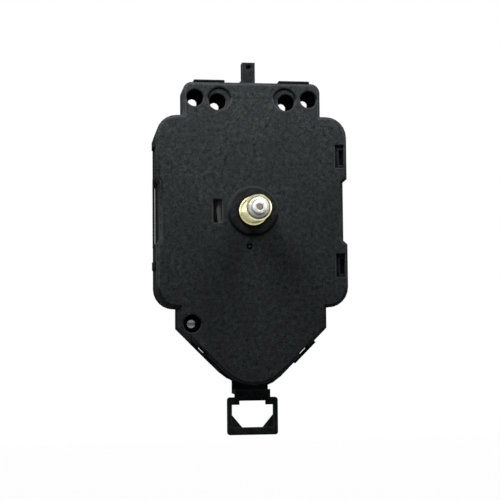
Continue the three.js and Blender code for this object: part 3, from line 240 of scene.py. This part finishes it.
def spark_grain_group():
    """Spark-eroded mould grain: rounded pits of two sizes, flecks on their ridges, and a slow tint."""
    coarse_scale_share = 0.36
    tint_scale_share = 0.13
    fine_share = 0.55
    fleck_range = (0.36, 0.64)
    tint_range = (0.4, 0.6)
    group, entry, leave = new_group(
        "spark_grain",
        [("Grains per metre", "Float", 3500.0), ("Coarse share", "Float", 0.35)],
        [("Height", "Float"), ("Fleck", "Float"), ("Tint", "Float")],
    )
    place = add(group, "TexCoord")
    fine = add(group, "TexNoise", {"Detail": 3.0, "Roughness": 0.65})
    coarse = add(group, "TexNoise", {"Detail": 2.0, "Roughness": 0.6, "Distortion": 0.4})
    tint = add(group, "TexNoise", {"Detail": 2.0})
    for texture in (fine, coarse, tint):
        group.links.new(place.outputs["Object"], texture.inputs["Vector"])
    group.links.new(entry.outputs["Grains per metre"], fine.inputs["Scale"])
    for texture, share in ((coarse, coarse_scale_share), (tint, tint_scale_share)):
        slower = math_node(group, "MULTIPLY", entry.outputs["Grains per metre"], share)
        group.links.new(slower, texture.inputs["Scale"])
    drift = math_node(group, "MULTIPLY", coarse.outputs[0], entry.outputs["Coarse share"])
    group.links.new(math_node(group, "ADD", fine.outputs[0], drift), leave.inputs["Height"])
    ridges = math_node(group, "ADD", math_node(group, "MULTIPLY", fine.outputs[0], fine_share),
                       math_node(group, "MULTIPLY", coarse.outputs[0], 1.0 - fine_share))
    group.links.new(ranged(group, ridges, *fleck_range), leave.inputs["Fleck"])
    group.links.new(ranged(group, tint.outputs[0], *tint_range), leave.inputs["Tint"])
    return group


def edge_wear_and_shading_group():
    """Edges paler and darker. Mask is 1 along sharp corners, broken up by noise; it is rubbed wear, and
    where it is thinned on edges that face down it is a painted highlight on the rest. Under is 1 along edges
    that face down, for painted shade."""
    wear_and_highlight_turn = (0.995, 0.92)
    under_shade_turn = (0.9995, 0.985)
    facing_up = (-0.25, -0.08)
    facing_down = (-0.01, -0.06)
    patch_range = (0.35, 0.65)
    thinnest = 0.45
    group, entry, leave = new_group(
        "edge_wear_and_shading",
        [("Width", "Float", 0.3 * MM), ("Patches per metre", "Float", 260.0), ("Lower share", "Float", 1.0)],
        [("Mask", "Float"), ("Under", "Float")],
    )
    bevel = add(group, "Bevel", samples=6)
    group.links.new(entry.outputs["Width"], bevel.inputs["Radius"])
    face = add(group, "NewGeometry")
    turn = add(group, "VectorMath", operation="DOT_PRODUCT")
    group.links.new(bevel.outputs["Normal"], turn.inputs[0])
    group.links.new(face.outputs["Normal"], turn.inputs[1])
    corner = ranged(group, turn.outputs["Value"], *wear_and_highlight_turn)
    near = ranged(group, turn.outputs["Value"], *under_shade_turn)
    place = add(group, "TexCoord")
    patches = add(group, "TexNoise", {"Detail": 4.0})
    group.links.new(place.outputs["Object"], patches.inputs["Vector"])
    group.links.new(entry.outputs["Patches per metre"], patches.inputs["Scale"])
    broken = ranged(group, patches.outputs[0], *patch_range, thinnest, 1.0)
    apart = add(group, "SeparateXYZ")
    group.links.new(bevel.outputs["Normal"], apart.inputs[0])
    # By how an edge faces: the paler colour kept only above is a painted highlight, and Under marks painted
    # shade below
    lower = math_node(group, "SUBTRACT", 1.0, ranged(group, apart.outputs["Z"], *facing_up))
    under = ranged(group, apart.outputs["Z"], *facing_down)
    thinned = math_node(group, "SUBTRACT", 1.0, entry.outputs["Lower share"])
    lost = math_node(group, "MULTIPLY", lower, thinned)
    kept = math_node(group, "MULTIPLY", broken, math_node(group, "SUBTRACT", 1.0, lost))
    group.links.new(math_node(group, "MULTIPLY", corner, kept, clamp=True), leave.inputs["Mask"])
    group.links.new(math_node(group, "MULTIPLY", near, under, clamp=True), leave.inputs["Under"])
    return group


def handling_group():
    """Slow drift of tone from the flow of the moulding, and smudges of gloss from handling."""
    smudge_scale_share = 4.0
    smudge_range = (0.5, 0.7)
    group, entry, leave = new_group(
        "handling",
        [("Patches per metre", "Float", 60.0)],
        [("Drift", "Float"), ("Smudge", "Float")],
    )
    place = add(group, "TexCoord")
    drift = add(group, "TexNoise", {"Detail": 3.0, "Roughness": 0.55})
    smudge = add(group, "TexNoise", {"Detail": 5.0, "Roughness": 0.65, "Distortion": 0.8})
    for texture in (drift, smudge):
        group.links.new(place.outputs["Object"], texture.inputs["Vector"])
    group.links.new(entry.outputs["Patches per metre"], drift.inputs["Scale"])
    quicker = math_node(group, "MULTIPLY", entry.outputs["Patches per metre"], smudge_scale_share)
    group.links.new(quicker, smudge.inputs["Scale"])
    group.links.new(drift.outputs[0], leave.inputs["Drift"])
    group.links.new(ranged(group, smudge.outputs[0], *smudge_range), leave.inputs["Smudge"])
    return group


def turning_marks_group():
    """Rings left by a lathe tool about the hand axis, on ends and sides alike."""
    streak_range = (0.4, 0.65)
    group, entry, leave = new_group(
        "turning_marks",
        [("Rings per metre", "Float", 9000.0)],
        [("Height", "Float"), ("Streak", "Float")],
    )
    place = add(group, "TexCoord")
    radius, depth = from_y_axis(group, place.outputs["Object"])
    along = math_node(group, "ADD", radius, depth)
    rings = add(group, "TexNoise", {"Detail": 3.0, "Roughness": 0.7}, noise_dimensions="1D")
    group.links.new(along, rings.inputs["W"])
    group.links.new(entry.outputs["Rings per metre"], rings.inputs["Scale"])
    group.links.new(rings.outputs[0], leave.inputs["Height"])
    group.links.new(ranged(group, rings.outputs[0], *streak_range), leave.inputs["Streak"])
    return group


def rolling_marks_group():
    """Long fine lines of rolled sheet and strip, and of drawn wire, along one direction."""
    streak_range = (0.4, 0.65)
    group, entry, leave = new_group(
        "rolling_marks",
        [("Lines per metre", "Vector", (4000.0, 4000.0, 150.0))],
        [("Height", "Float"), ("Streak", "Float")],
    )
    place = add(group, "TexCoord")
    stretched = add(group, "VectorMath", operation="MULTIPLY")
    group.links.new(place.outputs["Object"], stretched.inputs[0])
    group.links.new(entry.outputs["Lines per metre"], stretched.inputs[1])
    lines = add(group, "TexNoise", {"Scale": 1.0, "Detail": 3.0})
    group.links.new(stretched.outputs[0], lines.inputs["Vector"])
    group.links.new(lines.outputs[0], leave.inputs["Height"])
    group.links.new(ranged(group, lines.outputs[0], *streak_range), leave.inputs["Streak"])
    return group


SPARK_GRAIN = spark_grain_group()
EDGE_WEAR_AND_SHADING = edge_wear_and_shading_group()
HANDLING = handling_group()
TURNING_MARKS = turning_marks_group()
ROLLING_MARKS = rolling_marks_group()


# Materials

def new_material(name):
    """A material, its nodes and its Principled shader."""
    material = bpy.data.materials.new(name)
    material.use_nodes = True
    tree = material.node_tree
    return material, tree, tree.nodes["Principled BSDF"]


def effect(tree, group, **values):
    """An effect's node in a material, with its own values."""
    node = add(tree, "Group", node_tree=group)
    for label, value in values.items():
        node.inputs[label.replace("_", " ")].default_value = value
    return node


def mixed(tree, factor, first, second):
    """Colour between two colours or sockets."""
    node = add(tree, "Mix", data_type="RGBA", clamp_factor=True)
    tree.links.new(factor, node.inputs["Factor"])
    for label, value in (("A", first), ("B", second)):
        socket = [s for s in node.inputs if s.name == label and s.type == "RGBA"][0]
        if isinstance(value, bpy.types.NodeSocket):
            tree.links.new(value, socket)
        else:
            socket.default_value = (*value, 1)
    return [s for s in node.outputs if s.type == "RGBA"][0]


def bumped(tree, shader, height, strength, depth):
    """Bends the shader's normal by a height."""
    bump = add(tree, "Bump", {"Strength": strength, "Distance": depth})
    tree.links.new(height, bump.inputs["Height"])
    tree.links.new(bump.outputs["Normal"], shader.inputs["Normal"])


def shade(colour, share):
    """A colour at a share of its own brightness."""
    return tuple(share * c for c in colour)


def moulded_plastic(name, colour, wear_and_highlight, grains=3500.0, depth=0.02 * MM, gloss=(0.5, 0.62), specular=0.5,
                    fleck=(0.9, 1.2), tint=(1.0, 1.0, 1.0), edge=0.3 * MM, lower=1.0, through=0.0):
    """Moulded plastic: grain, a slow drift of tone and gloss, edges paler from wear and painted highlight,
    and painted shade under them.

    Gloss is the roughness where smudged and elsewhere, fleck the shares of the colour in pits and on ridges,
    lower the share of the paler edge colour left on edges that face down, the rest laid there as painted
    shade, and through the light let in.
    """
    material, tree, shader = new_material(name)
    grain = effect(tree, SPARK_GRAIN, Grains_per_metre=grains)
    handling = effect(tree, HANDLING)
    wear = effect(tree, EDGE_WEAR_AND_SHADING, Width=edge, Lower_share=lower)
    pits, ridges = (shade(colour, share) for share in fleck)
    flecked = mixed(tree, grain.outputs["Fleck"], pits, ridges)
    tinted = tuple(share * c for share, c in zip(tint, colour))
    grained = mixed(tree, share_of(tree, grain.outputs["Tint"], TINT_SHARE), flecked, tinted)
    drift = ranged(tree, handling.outputs["Drift"], *DRIFT_RANGE, 0.0, DRIFT_SHARE)
    drifted = mixed(tree, drift, grained, shade(colour, DRIFT_DARK_SHARE))
    # Paler edges: wear, and a painted highlight where lower thins them on edges that face down
    worn_and_lit_edges = mixed(tree, share_of(tree, wear.outputs["Mask"], WEAR_AND_HIGHLIGHT_SHARE), drifted, wear_and_highlight)
    # Darker colour under edges that face down: painted shade
    under_edge_shade = share_of(tree, wear.outputs["Under"], UNDER_EDGE_SHADE_SHARE * (1.0 - lower))
    shaded_edges = mixed(tree, under_edge_shade, worn_and_lit_edges, shade(colour, UNDER_EDGE_SHADE_DARK_SHARE))
    tree.links.new(shaded_edges, shader.inputs["Base Color"])
    rough = ranged(tree, handling.outputs["Smudge"], 0.0, 1.0, gloss[1], gloss[0])
    tree.links.new(rough, shader.inputs["Roughness"])
    shader.inputs["Specular IOR Level"].default_value = specular
    shader.inputs["Subsurface Weight"].default_value = through
    shader.inputs["Subsurface Radius"].default_value = (1.0, 1.0, 1.0)
    shader.inputs["Subsurface Scale"].default_value = SCATTER_REACH
    bumped(tree, shader, grain.outputs["Height"], GRAIN_STRENGTH, depth)
    return material


def turned_metal(name, colour, tarnish, gloss=(0.24, 0.42)):
    """Lathe-turned metal: tool rings, patches of tarnish, and brighter rubbed edges.

    Gloss is the roughness between the tool's rings and on them.
    """
    material, tree, shader = new_material(name)
    marks = effect(tree, TURNING_MARKS)
    handling = effect(tree, HANDLING, Patches_per_metre=350.0)
    wear = effect(tree, EDGE_WEAR_AND_SHADING, Width=0.15 * MM)
    dulled = mixed(tree, handling.outputs["Smudge"], colour, tarnish)
    bright = tuple(min(1.0, c) for c in shade(colour, METAL_RUBBED_SHARE))
    tree.links.new(mixed(tree, wear.outputs["Mask"], dulled, bright), shader.inputs["Base Color"])
    tree.links.new(ranged(tree, marks.outputs["Streak"], 0.0, 1.0, *gloss), shader.inputs["Roughness"])
    shader.inputs["Metallic"].default_value = 1.0
    bumped(tree, shader, marks.outputs["Height"], TURNING_STRENGTH, METAL_RELIEF)
    return material


def rolled_metal(name, colour, tarnish, lines=(4000.0, 4000.0, 150.0), gloss=(0.25, 0.4)):
    """Rolled strip or drawn wire: long fine lines and a little tarnish. Gloss is as for turned metal."""
    material, tree, shader = new_material(name)
    marks = effect(tree, ROLLING_MARKS, Lines_per_metre=lines)
    handling = effect(tree, HANDLING, Patches_per_metre=200.0)
    tree.links.new(mixed(tree, handling.outputs["Smudge"], colour, tarnish), shader.inputs["Base Color"])
    tree.links.new(ranged(tree, marks.outputs["Streak"], 0.0, 1.0, *gloss), shader.inputs["Roughness"])
    shader.inputs["Metallic"].default_value = 1.0
    bumped(tree, shader, marks.outputs["Height"], ROLLING_STRENGTH, METAL_RELIEF)
    return material


def toned(material, mask, colour):
    """Lays a colour over the material's own where the mask is 1."""
    tree = material.node_tree
    base = tree.nodes["Principled BSDF"].inputs["Base Color"]
    own = base.links[0].from_socket
    tree.links.new(mixed(tree, mask, own, colour), base)


def place_in_piece(tree, centre=HAND_AXIS):
    """Distance from an axis along Y, the hand axis unless told, and depth behind the case's face."""
    place = add(tree, "TexCoord")
    shifted = add(tree, "VectorMath", {1: centre}, operation="SUBTRACT")
    tree.links.new(place.outputs["Object"], shifted.inputs[0])
    return from_y_axis(tree, shifted.outputs[0])


CASE_BLACK = (0.0200, 0.0232, 0.0241)
# Paler colour along the case's rounded edges: painted highlight
CASE_EDGE_HIGHLIGHT = (0.072, 0.075, 0.075)
# The rear case and the lever are the case's plastic at a lower share: painted shade, their edge highlights
# dimmed alike
REAR_SHADED_BLACK = shade(CASE_BLACK, 0.55)
REAR_EDGE_HIGHLIGHT = shade(CASE_EDGE_HIGHLIGHT, 0.5)
LEVER_SHADED_BLACK = shade(CASE_BLACK, 0.6)
LEVER_EDGE_HIGHLIGHT = shade(CASE_EDGE_HIGHLIGHT, 0.6)
PAINTED_SHADE_BLACK = (0.001, 0.001, 0.001)
WHEEL_PAINTED_SHADE = (0.14, 0.15, 0.13)

# Grain and gloss that several plastics share; on the case plastics the paler edges are a painted highlight,
# kept off edges facing down, which take painted shade
CASE_GRAIN = {
    "grains": 2300.0, "depth": 0.05 * MM, "gloss": (0.6, 0.75), "specular": 0.0, "fleck": (0.2, 2.3),
    "tint": (1.12, 0.96, 1.06), "edge": 0.7 * MM, "lower": 0.0,
}
WHITE_ACETAL = {
    "grains": 5000.0, "depth": 0.006 * MM, "gloss": (0.5, 0.62), "specular": 0.3, "fleck": (0.99, 1.01),
    "through": 1.0,
}
TINTED_ACETAL = {"grains": 5000.0, "depth": 0.006 * MM, "gloss": (0.32, 0.45)}


def front_case_plastic():
    """The case's plastic, with painted shade on the boss, a painted shadow where the bush stands, and
    painted shade in the moulding mark.
    """
    material = moulded_plastic("front_case_plastic", CASE_BLACK, CASE_EDGE_HIGHLIGHT, **CASE_GRAIN)
    tree = material.node_tree
    radius, depth = place_in_piece(tree)
    # Darker on the raised boss: painted shade
    boss = ranged(tree, depth, *BOSS_RISE, 0.0, BOSS_TONE_SHARE)
    toned(material, boss, shade(CASE_BLACK, BOSS_SHADE_SHARE))
    # Near-black ring round the collar's foot: painted shadow
    foot = ranged(tree, radius, *FOOT_SHADOW_REACH, 0.0, FOOT_SHADOW_SHARE)
    toned(material, foot, PAINTED_SHADE_BLACK)
    # Darker in the groove of the moulding mark: painted shade
    from_mark = place_in_piece(tree, MARK_PLACE)[0]
    inside = ranged(tree, from_mark, *MARK_INSIDE)
    outside = ranged(tree, from_mark, *MARK_OUTSIDE)
    groove = math_node(tree, "MULTIPLY", inside, outside)
    toned(material, math_node(tree, "MULTIPLY", groove, MARK_SHADE_SHARE), PAINTED_SHADE_BLACK)
    return material


def hour_wheel_plastic():
    """A dimmer white than the white acetal, as painted shade against the near lamps, and grey deeper behind
    the face, as painted shade.
    """
    material = moulded_plastic("white_wheel_acetal", (0.70, 0.70, 0.66), (0.74, 0.74, 0.71), **WHITE_ACETAL)
    tree = material.node_tree
    depth = place_in_piece(tree)[1]
    # Greyer deeper behind the face: painted shade
    toned(material, ranged(tree, depth, 0.0, WHEEL_PAINTED_SHADE_DEPTH), WHEEL_PAINTED_SHADE)
    return material


# Finishes by material slot, and those that single nodes have of their own
FINISHES = {
    "dark_plastic": moulded_plastic("dark_plate_plastic", (0.012, 0.012, 0.013), (0.04, 0.04, 0.04)),
    "white_plastic": moulded_plastic("white_acetal", (0.82, 0.82, 0.79), (0.84, 0.84, 0.82), **WHITE_ACETAL),
    "cream_plastic": moulded_plastic("natural_acetal", (0.68, 0.64, 0.50), (0.74, 0.71, 0.58),
                                     fleck=(0.98, 1.02), **TINTED_ACETAL),
    "red_plastic": moulded_plastic("red_acetal", (0.45, 0.08, 0.05), (0.55, 0.16, 0.12),
                                   fleck=(0.96, 1.04), **TINTED_ACETAL),
    "grey_plastic": moulded_plastic("grey_acetal", (0.30, 0.32, 0.33), (0.40, 0.42, 0.43),
                                    fleck=(0.95, 1.05), **TINTED_ACETAL),
    "ferrite": moulded_plastic("sintered_ferrite", (0.06, 0.06, 0.065), (0.11, 0.11, 0.115), grains=6000.0,
                               depth=0.01 * MM, gloss=(0.4, 0.55)),
    "board_green": moulded_plastic("solder_mask", (0.04, 0.18, 0.09), (0.30, 0.30, 0.20), grains=1800.0,
                                   depth=0.008 * MM, gloss=(0.25, 0.35)),
    "chip_black": moulded_plastic("potting_resin", (0.010, 0.010, 0.011), (0.03, 0.03, 0.03), grains=900.0,
                                  depth=0.02 * MM, gloss=(0.12, 0.2)),
    "brass": turned_metal("turned_brass", (0.70, 0.67, 0.41), (0.36, 0.32, 0.13), gloss=(0.28, 0.42)),
    "steel": turned_metal("turned_steel", (0.60, 0.61, 0.62), (0.40, 0.39, 0.37)),
    "dark_steel": turned_metal("browned_steel", (0.30, 0.25, 0.21), (0.16, 0.12, 0.09), gloss=(0.3, 0.5)),
    "spring_steel": rolled_metal("nickelled_strip", (0.66, 0.67, 0.64), (0.50, 0.49, 0.44)),
    "silicon_steel": rolled_metal("stamped_sheet", (0.42, 0.42, 0.41), (0.30, 0.29, 0.27)),
    "copper": rolled_metal("lacquered_wire", (0.62, 0.26, 0.11), (0.45, 0.16, 0.06),
                           lines=(150.0, 150.0, 9000.0)),
}
OWN_FINISHES = {
    "front_case": front_case_plastic(),
    "rear_case": moulded_plastic("rear_case_shaded_plastic", REAR_SHADED_BLACK, REAR_EDGE_HIGHLIGHT, **CASE_GRAIN),
    "pendulum_lever": moulded_plastic("lever_shaded_plastic", LEVER_SHADED_BLACK, LEVER_EDGE_HIGHLIGHT, **CASE_GRAIN),
    "hour_wheel": hour_wheel_plastic(),
    "case_screw": turned_metal("dull_screw_steel", (0.24, 0.24, 0.23), (0.12, 0.12, 0.11),
                               gloss=(0.3, 0.45)),
}
BODIES = frame["record"]["behaviour"]["bodies"]
SLOT_OF = {part["node"]: part["material_slot"] for part in frame["record"]["subparts"]}
BODY_OF = {node: body for body, members in BODIES.items() for node in members}


# Pieces

def placed(name, mesh, body, slot, *replaced, finish=None):
    """An object with a finish that rides on a body and stands for CAD nodes."""
    piece = bpy.data.objects.new(name, mesh)
    scene.collection.objects.link(piece)
    mesh.materials.clear()
    mesh.materials.append(finish or FINISHES[slot])
    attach(piece, body)
    if replaced:
        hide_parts(*replaced)
    return piece


def rounded_copy(node, rounding):
    """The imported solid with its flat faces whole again, its edges rounded and its curves smooth."""
    mesh = nodes[node].data.copy()
    form = bmesh.new()
    form.from_mesh(mesh)
    bmesh.ops.remove_doubles(form, verts=form.verts, dist=WELD)
    bmesh.ops.dissolve_limit(form, angle_limit=FLAT_TURN, verts=form.verts, edges=form.edges)
    form.to_mesh(mesh)
    form.free()
    mesh.shade_smooth()
    mesh.set_sharp_from_angle(angle=SHARP_TURN)
    piece = placed(node + "_finished", mesh, BODY_OF[node], SLOT_OF[node], node,
                   finish=OWN_FINISHES.get(node))
    bevel = piece.modifiers.new("edge_rounding", "BEVEL")
    bevel.width = rounding
    bevel.segments = 3 if rounding > WIDE_ROUNDING else 2
    bevel.limit_method = "ANGLE"
    bevel.angle_limit = SHARP_TURN
    bevel.use_clamp_overlap = True
    bevel.harden_normals = True


def threaded_bush(around=72, along=12):
    """The bush with a real helical thread, and with a plain collar and an undercut behind it."""
    low = NECK_TOP
    high = BUSH_TIP + BUSH_TIP_CHAMFER
    rows = int((low - high) / THREAD_PITCH * along)
    form = bmesh.new()

    def thread_radius(angle, depth):
        phase = (depth / THREAD_PITCH + angle / (2 * math.pi)) % 1
        flank = THREAD_FLANK_SHARE * (1 - abs(2 * phase - 1)) - THREAD_ROOT_FLAT_SHARE
        height = min(1.0, max(0.0, flank))
        ends = min(1.0, (low - depth) / THREAD_RUN_IN, (depth - high) / THREAD_RUN_OUT + THREAD_TIP_SHARE)
        return THREAD_ROOT + (THREAD_CREST - THREAD_ROOT) * height * max(0.0, ends)

    def ring(radius, depth):
        verts = []
        for step in range(around):
            angle = 2 * math.pi * step / around
            reach = radius(angle, depth) if callable(radius) else radius
            verts.append(form.verts.new((reach * math.cos(angle), depth, reach * math.sin(angle))))
        return verts

    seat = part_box("front_case")[0].y - COLLAR_GAP
    foot_and_collar = [
        (BUSH_BORE, BUSH_FOOT), (THREAD_CREST, BUSH_FOOT), (THREAD_CREST, seat),
        (COLLAR_RADIUS - COLLAR_FOOT_CHAMFER, seat), (COLLAR_RADIUS, seat - COLLAR_FOOT_CHAMFER),
        (COLLAR_RADIUS, COLLAR_TOP + COLLAR_TOP_CHAMFER), (COLLAR_RADIUS - COLLAR_TOP_CHAMFER, COLLAR_TOP),
        (THREAD_ROOT, COLLAR_TOP), (THREAD_ROOT, NECK_TOP),
    ]
    thread = [(thread_radius, low + (high - low) * row / rows) for row in range(1, rows + 1)]
    tip = [
        (THREAD_CREST - BUSH_TIP_CHAMFER, BUSH_TIP), (BUSH_BORE + BUSH_TIP_CHAMFER, BUSH_TIP),
        (BUSH_BORE, high),
    ]
    rings = [ring(radius, depth) for radius, depth in foot_and_collar + thread + tip]
    for first, second in zip(rings, rings[1:] + rings[:1]):
        for i in range(around):
            j = (i + 1) % around
            form.faces.new((first[i], first[j], second[j], second[i]))
    bmesh.ops.recalc_face_normals(form, faces=form.faces)
    mesh = bpy.data.meshes.new("threaded_bush_cut")
    form.to_mesh(mesh)
    form.free()
    mesh.shade_smooth()
    mesh.set_sharp_from_angle(angle=THREAD_SHARP_TURN)
    placed("threaded_bush_cut", mesh, "case", "brass", "threaded_bush")


def case_bar(name, x, y, z, turned=0.0):
    """A small bar of the case between two x, y and z values, turned about the hand axis."""
    form = bmesh.new()
    bmesh.ops.create_cube(form, size=1.0)
    size = Vector((x[1] - x[0], y[1] - y[0], z[1] - z[0]))
    middle = Vector((x[0] + x[1], y[0] + y[1], z[0] + z[1])) / 2
    bmesh.ops.scale(form, vec=size, verts=form.verts)
    bmesh.ops.translate(form, vec=middle, verts=form.verts)
    bmesh.ops.rotate(form, cent=HAND_AXIS, matrix=Matrix.Rotation(turned, 3, "Y"), verts=form.verts)
    mesh = bpy.data.meshes.new(name)
    form.to_mesh(mesh)
    form.free()
    # Bars take the rear case's darker copy of the case plastic: painted shade
    placed(name, mesh, "case", "black_plastic", finish=OWN_FINISHES["rear_case"])


def chin_slot_bars():
    """Ledges and a stop that narrow the two slots in the chin."""
    def bar(name, along, across, turned):
        case_bar(name, along, SLOT_BAR_DEPTH, (across[0] - CHIN_EDGE, across[1] - CHIN_EDGE), turned)

    start, end = SLOT_ALONG - SLOT_LENGTH / 2, SLOT_ALONG + SLOT_LENGTH / 2
    bar("right_slot_ledge", (start, end), RIGHT_LEDGE, -CHIN_SLOPE)
    bar("right_slot_stop", (end - RIGHT_STOP_LENGTH, end + RIGHT_STOP_ROOT), RIGHT_STOP, -CHIN_SLOPE)
    bar("left_slot_outer_ledge", (-end, -start), LEFT_OUTER_LEDGE, CHIN_SLOPE)
    bar("left_slot_inner_ledge", (-end, -start), LEFT_INNER_LEDGE, CHIN_SLOPE)


def pocket_steps():
    """Steps that narrow the two latch pockets of the right side below the face."""
    for place, middle in POCKET_MIDDLES.items():
        whole = (middle + POCKET_BOTTOM_STEP[0], middle + POCKET_TOP_STEP[1])
        case_bar(place + "_pocket_side_step", POCKET_SIDE_STEP, POCKET_STEP_DEPTH, whole)
        for end, (low, high) in (("top", POCKET_TOP_STEP), ("bottom", POCKET_BOTTOM_STEP)):
            case_bar(place + "_pocket_" + end + "_step", POCKET_END_STEP, POCKET_STEP_DEPTH,
                     (middle + low, middle + high))


for node in nodes:
    if node == "threaded_bush":
        threaded_bush()
    else:
        rounded_copy(node, ROUNDINGS.get(node, PLAIN_ROUNDING))
chin_slot_bars()
case_bar("left_strap_rib", *STRAP_RIB)
pocket_steps()


# Stage

def white_floor():
    """Pale floor below the object. It shows from above only, and keeps its shadows."""
    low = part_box("pendulum_lever")[0].z - FLOOR_DROP
    mesh = bpy.data.meshes.new("floor")
    corners = [(-FLOOR_HALF, -FLOOR_HALF, low), (FLOOR_HALF, -FLOOR_HALF, low),
               (FLOOR_HALF, FLOOR_HALF, low), (-FLOOR_HALF, FLOOR_HALF, low)]
    mesh.from_pydata(corners, [], [(0, 1, 2, 3)])
    material, tree, shader = new_material("pale_floor")
    shader.inputs["Base Color"].default_value = FLOOR_COLOUR
    shader.inputs["Roughness"].default_value = FLOOR_ROUGHNESS
    seen = kinds_of_ray(tree, "Camera", "Glossy")
    glow = add(tree, "Emission", {"Color": WHITE})
    tree.links.new(math_node(tree, "MULTIPLY", seen, FLOOR_GLOW), glow.inputs["Strength"])
    lit = add(tree, "AddShader")
    tree.links.new(shader.outputs[0], lit.inputs[0])
    tree.links.new(glow.outputs[0], lit.inputs[1])
    side = add(tree, "NewGeometry")
    clear = add(tree, "BsdfTransparent")
    chosen = add(tree, "MixShader")
    tree.links.new(side.outputs["Backfacing"], chosen.inputs[0])
    tree.links.new(lit.outputs[0], chosen.inputs[1])
    tree.links.new(clear.outputs[0], chosen.inputs[2])
    tree.links.new(chosen.outputs[0], tree.nodes["Material Output"].inputs["Surface"])
    mesh.materials.append(material)
    floor = bpy.data.objects.new("floor", mesh)
    scene.collection.objects.link(floor)


def white_surroundings():
    """White to the eye, to gloss and through clear parts, and a plain level of light on the object."""
    world = bpy.data.worlds.new("studio")
    world.use_nodes = True
    tree = world.node_tree
    scene.world = world
    background = tree.nodes["Background"]
    seen = kinds_of_ray(tree, "Camera", "Glossy", "Transmission")
    strength = ranged(tree, seen, 0.0, 1.0, AMBIENT, 1.0)
    tree.links.new(strength, background.inputs["Strength"])
    background.inputs["Color"].default_value = WHITE


def square_lamp(name, place, side, power, aim):
    """A square lamp, hidden from the camera."""
    light = bpy.data.lights.new(name, "AREA")
    light.shape = "SQUARE"
    light.size = side
    light.energy = power
    lamp = bpy.data.objects.new(name, light)
    scene.collection.objects.link(lamp)
    lamp.location = place
    lamp.rotation_mode = "QUATERNION"
    lamp.rotation_quaternion = (Vector(aim) - Vector(place)).to_track_quat("-Z", "Y")
    lamp.visible_camera = False


def fitted_camera():
    """The camera of the photograph. Yaw turns it to the right, pitch upwards, roll about its own axis."""
    camera = bpy.data.cameras.new("camera")
    camera.lens = CAMERA_LENS
    camera.sensor_width = CAMERA_SENSOR
    camera.clip_start = CAMERA_NEAR
    camera.clip_end = CAMERA_FAR
    eye = bpy.data.objects.new("camera", camera)
    scene.collection.objects.link(eye)
    yaw, pitch, roll = CAMERA_YAW, CAMERA_PITCH, CAMERA_ROLL
    ahead = Vector((math.sin(yaw) * math.cos(pitch), math.cos(yaw) * math.cos(pitch), math.sin(pitch)))
    right = Vector((math.cos(yaw), -math.sin(yaw), 0))
    up = right.cross(ahead)
    rolled_right = math.cos(roll) * right + math.sin(roll) * up
    rolled_up = math.cos(roll) * up - math.sin(roll) * right
    turn = Matrix((rolled_right, rolled_up, -ahead)).transposed()
    eye.matrix_world = Matrix.Translation(CAMERA_PLACE) @ turn.to_4x4()
    scene.camera = eye


white_floor()
white_surroundings()
for name, lamp in LAMPS.items():
    square_lamp(name, **lamp)
fitted_camera()
scene.view_settings.view_transform = "Standard"
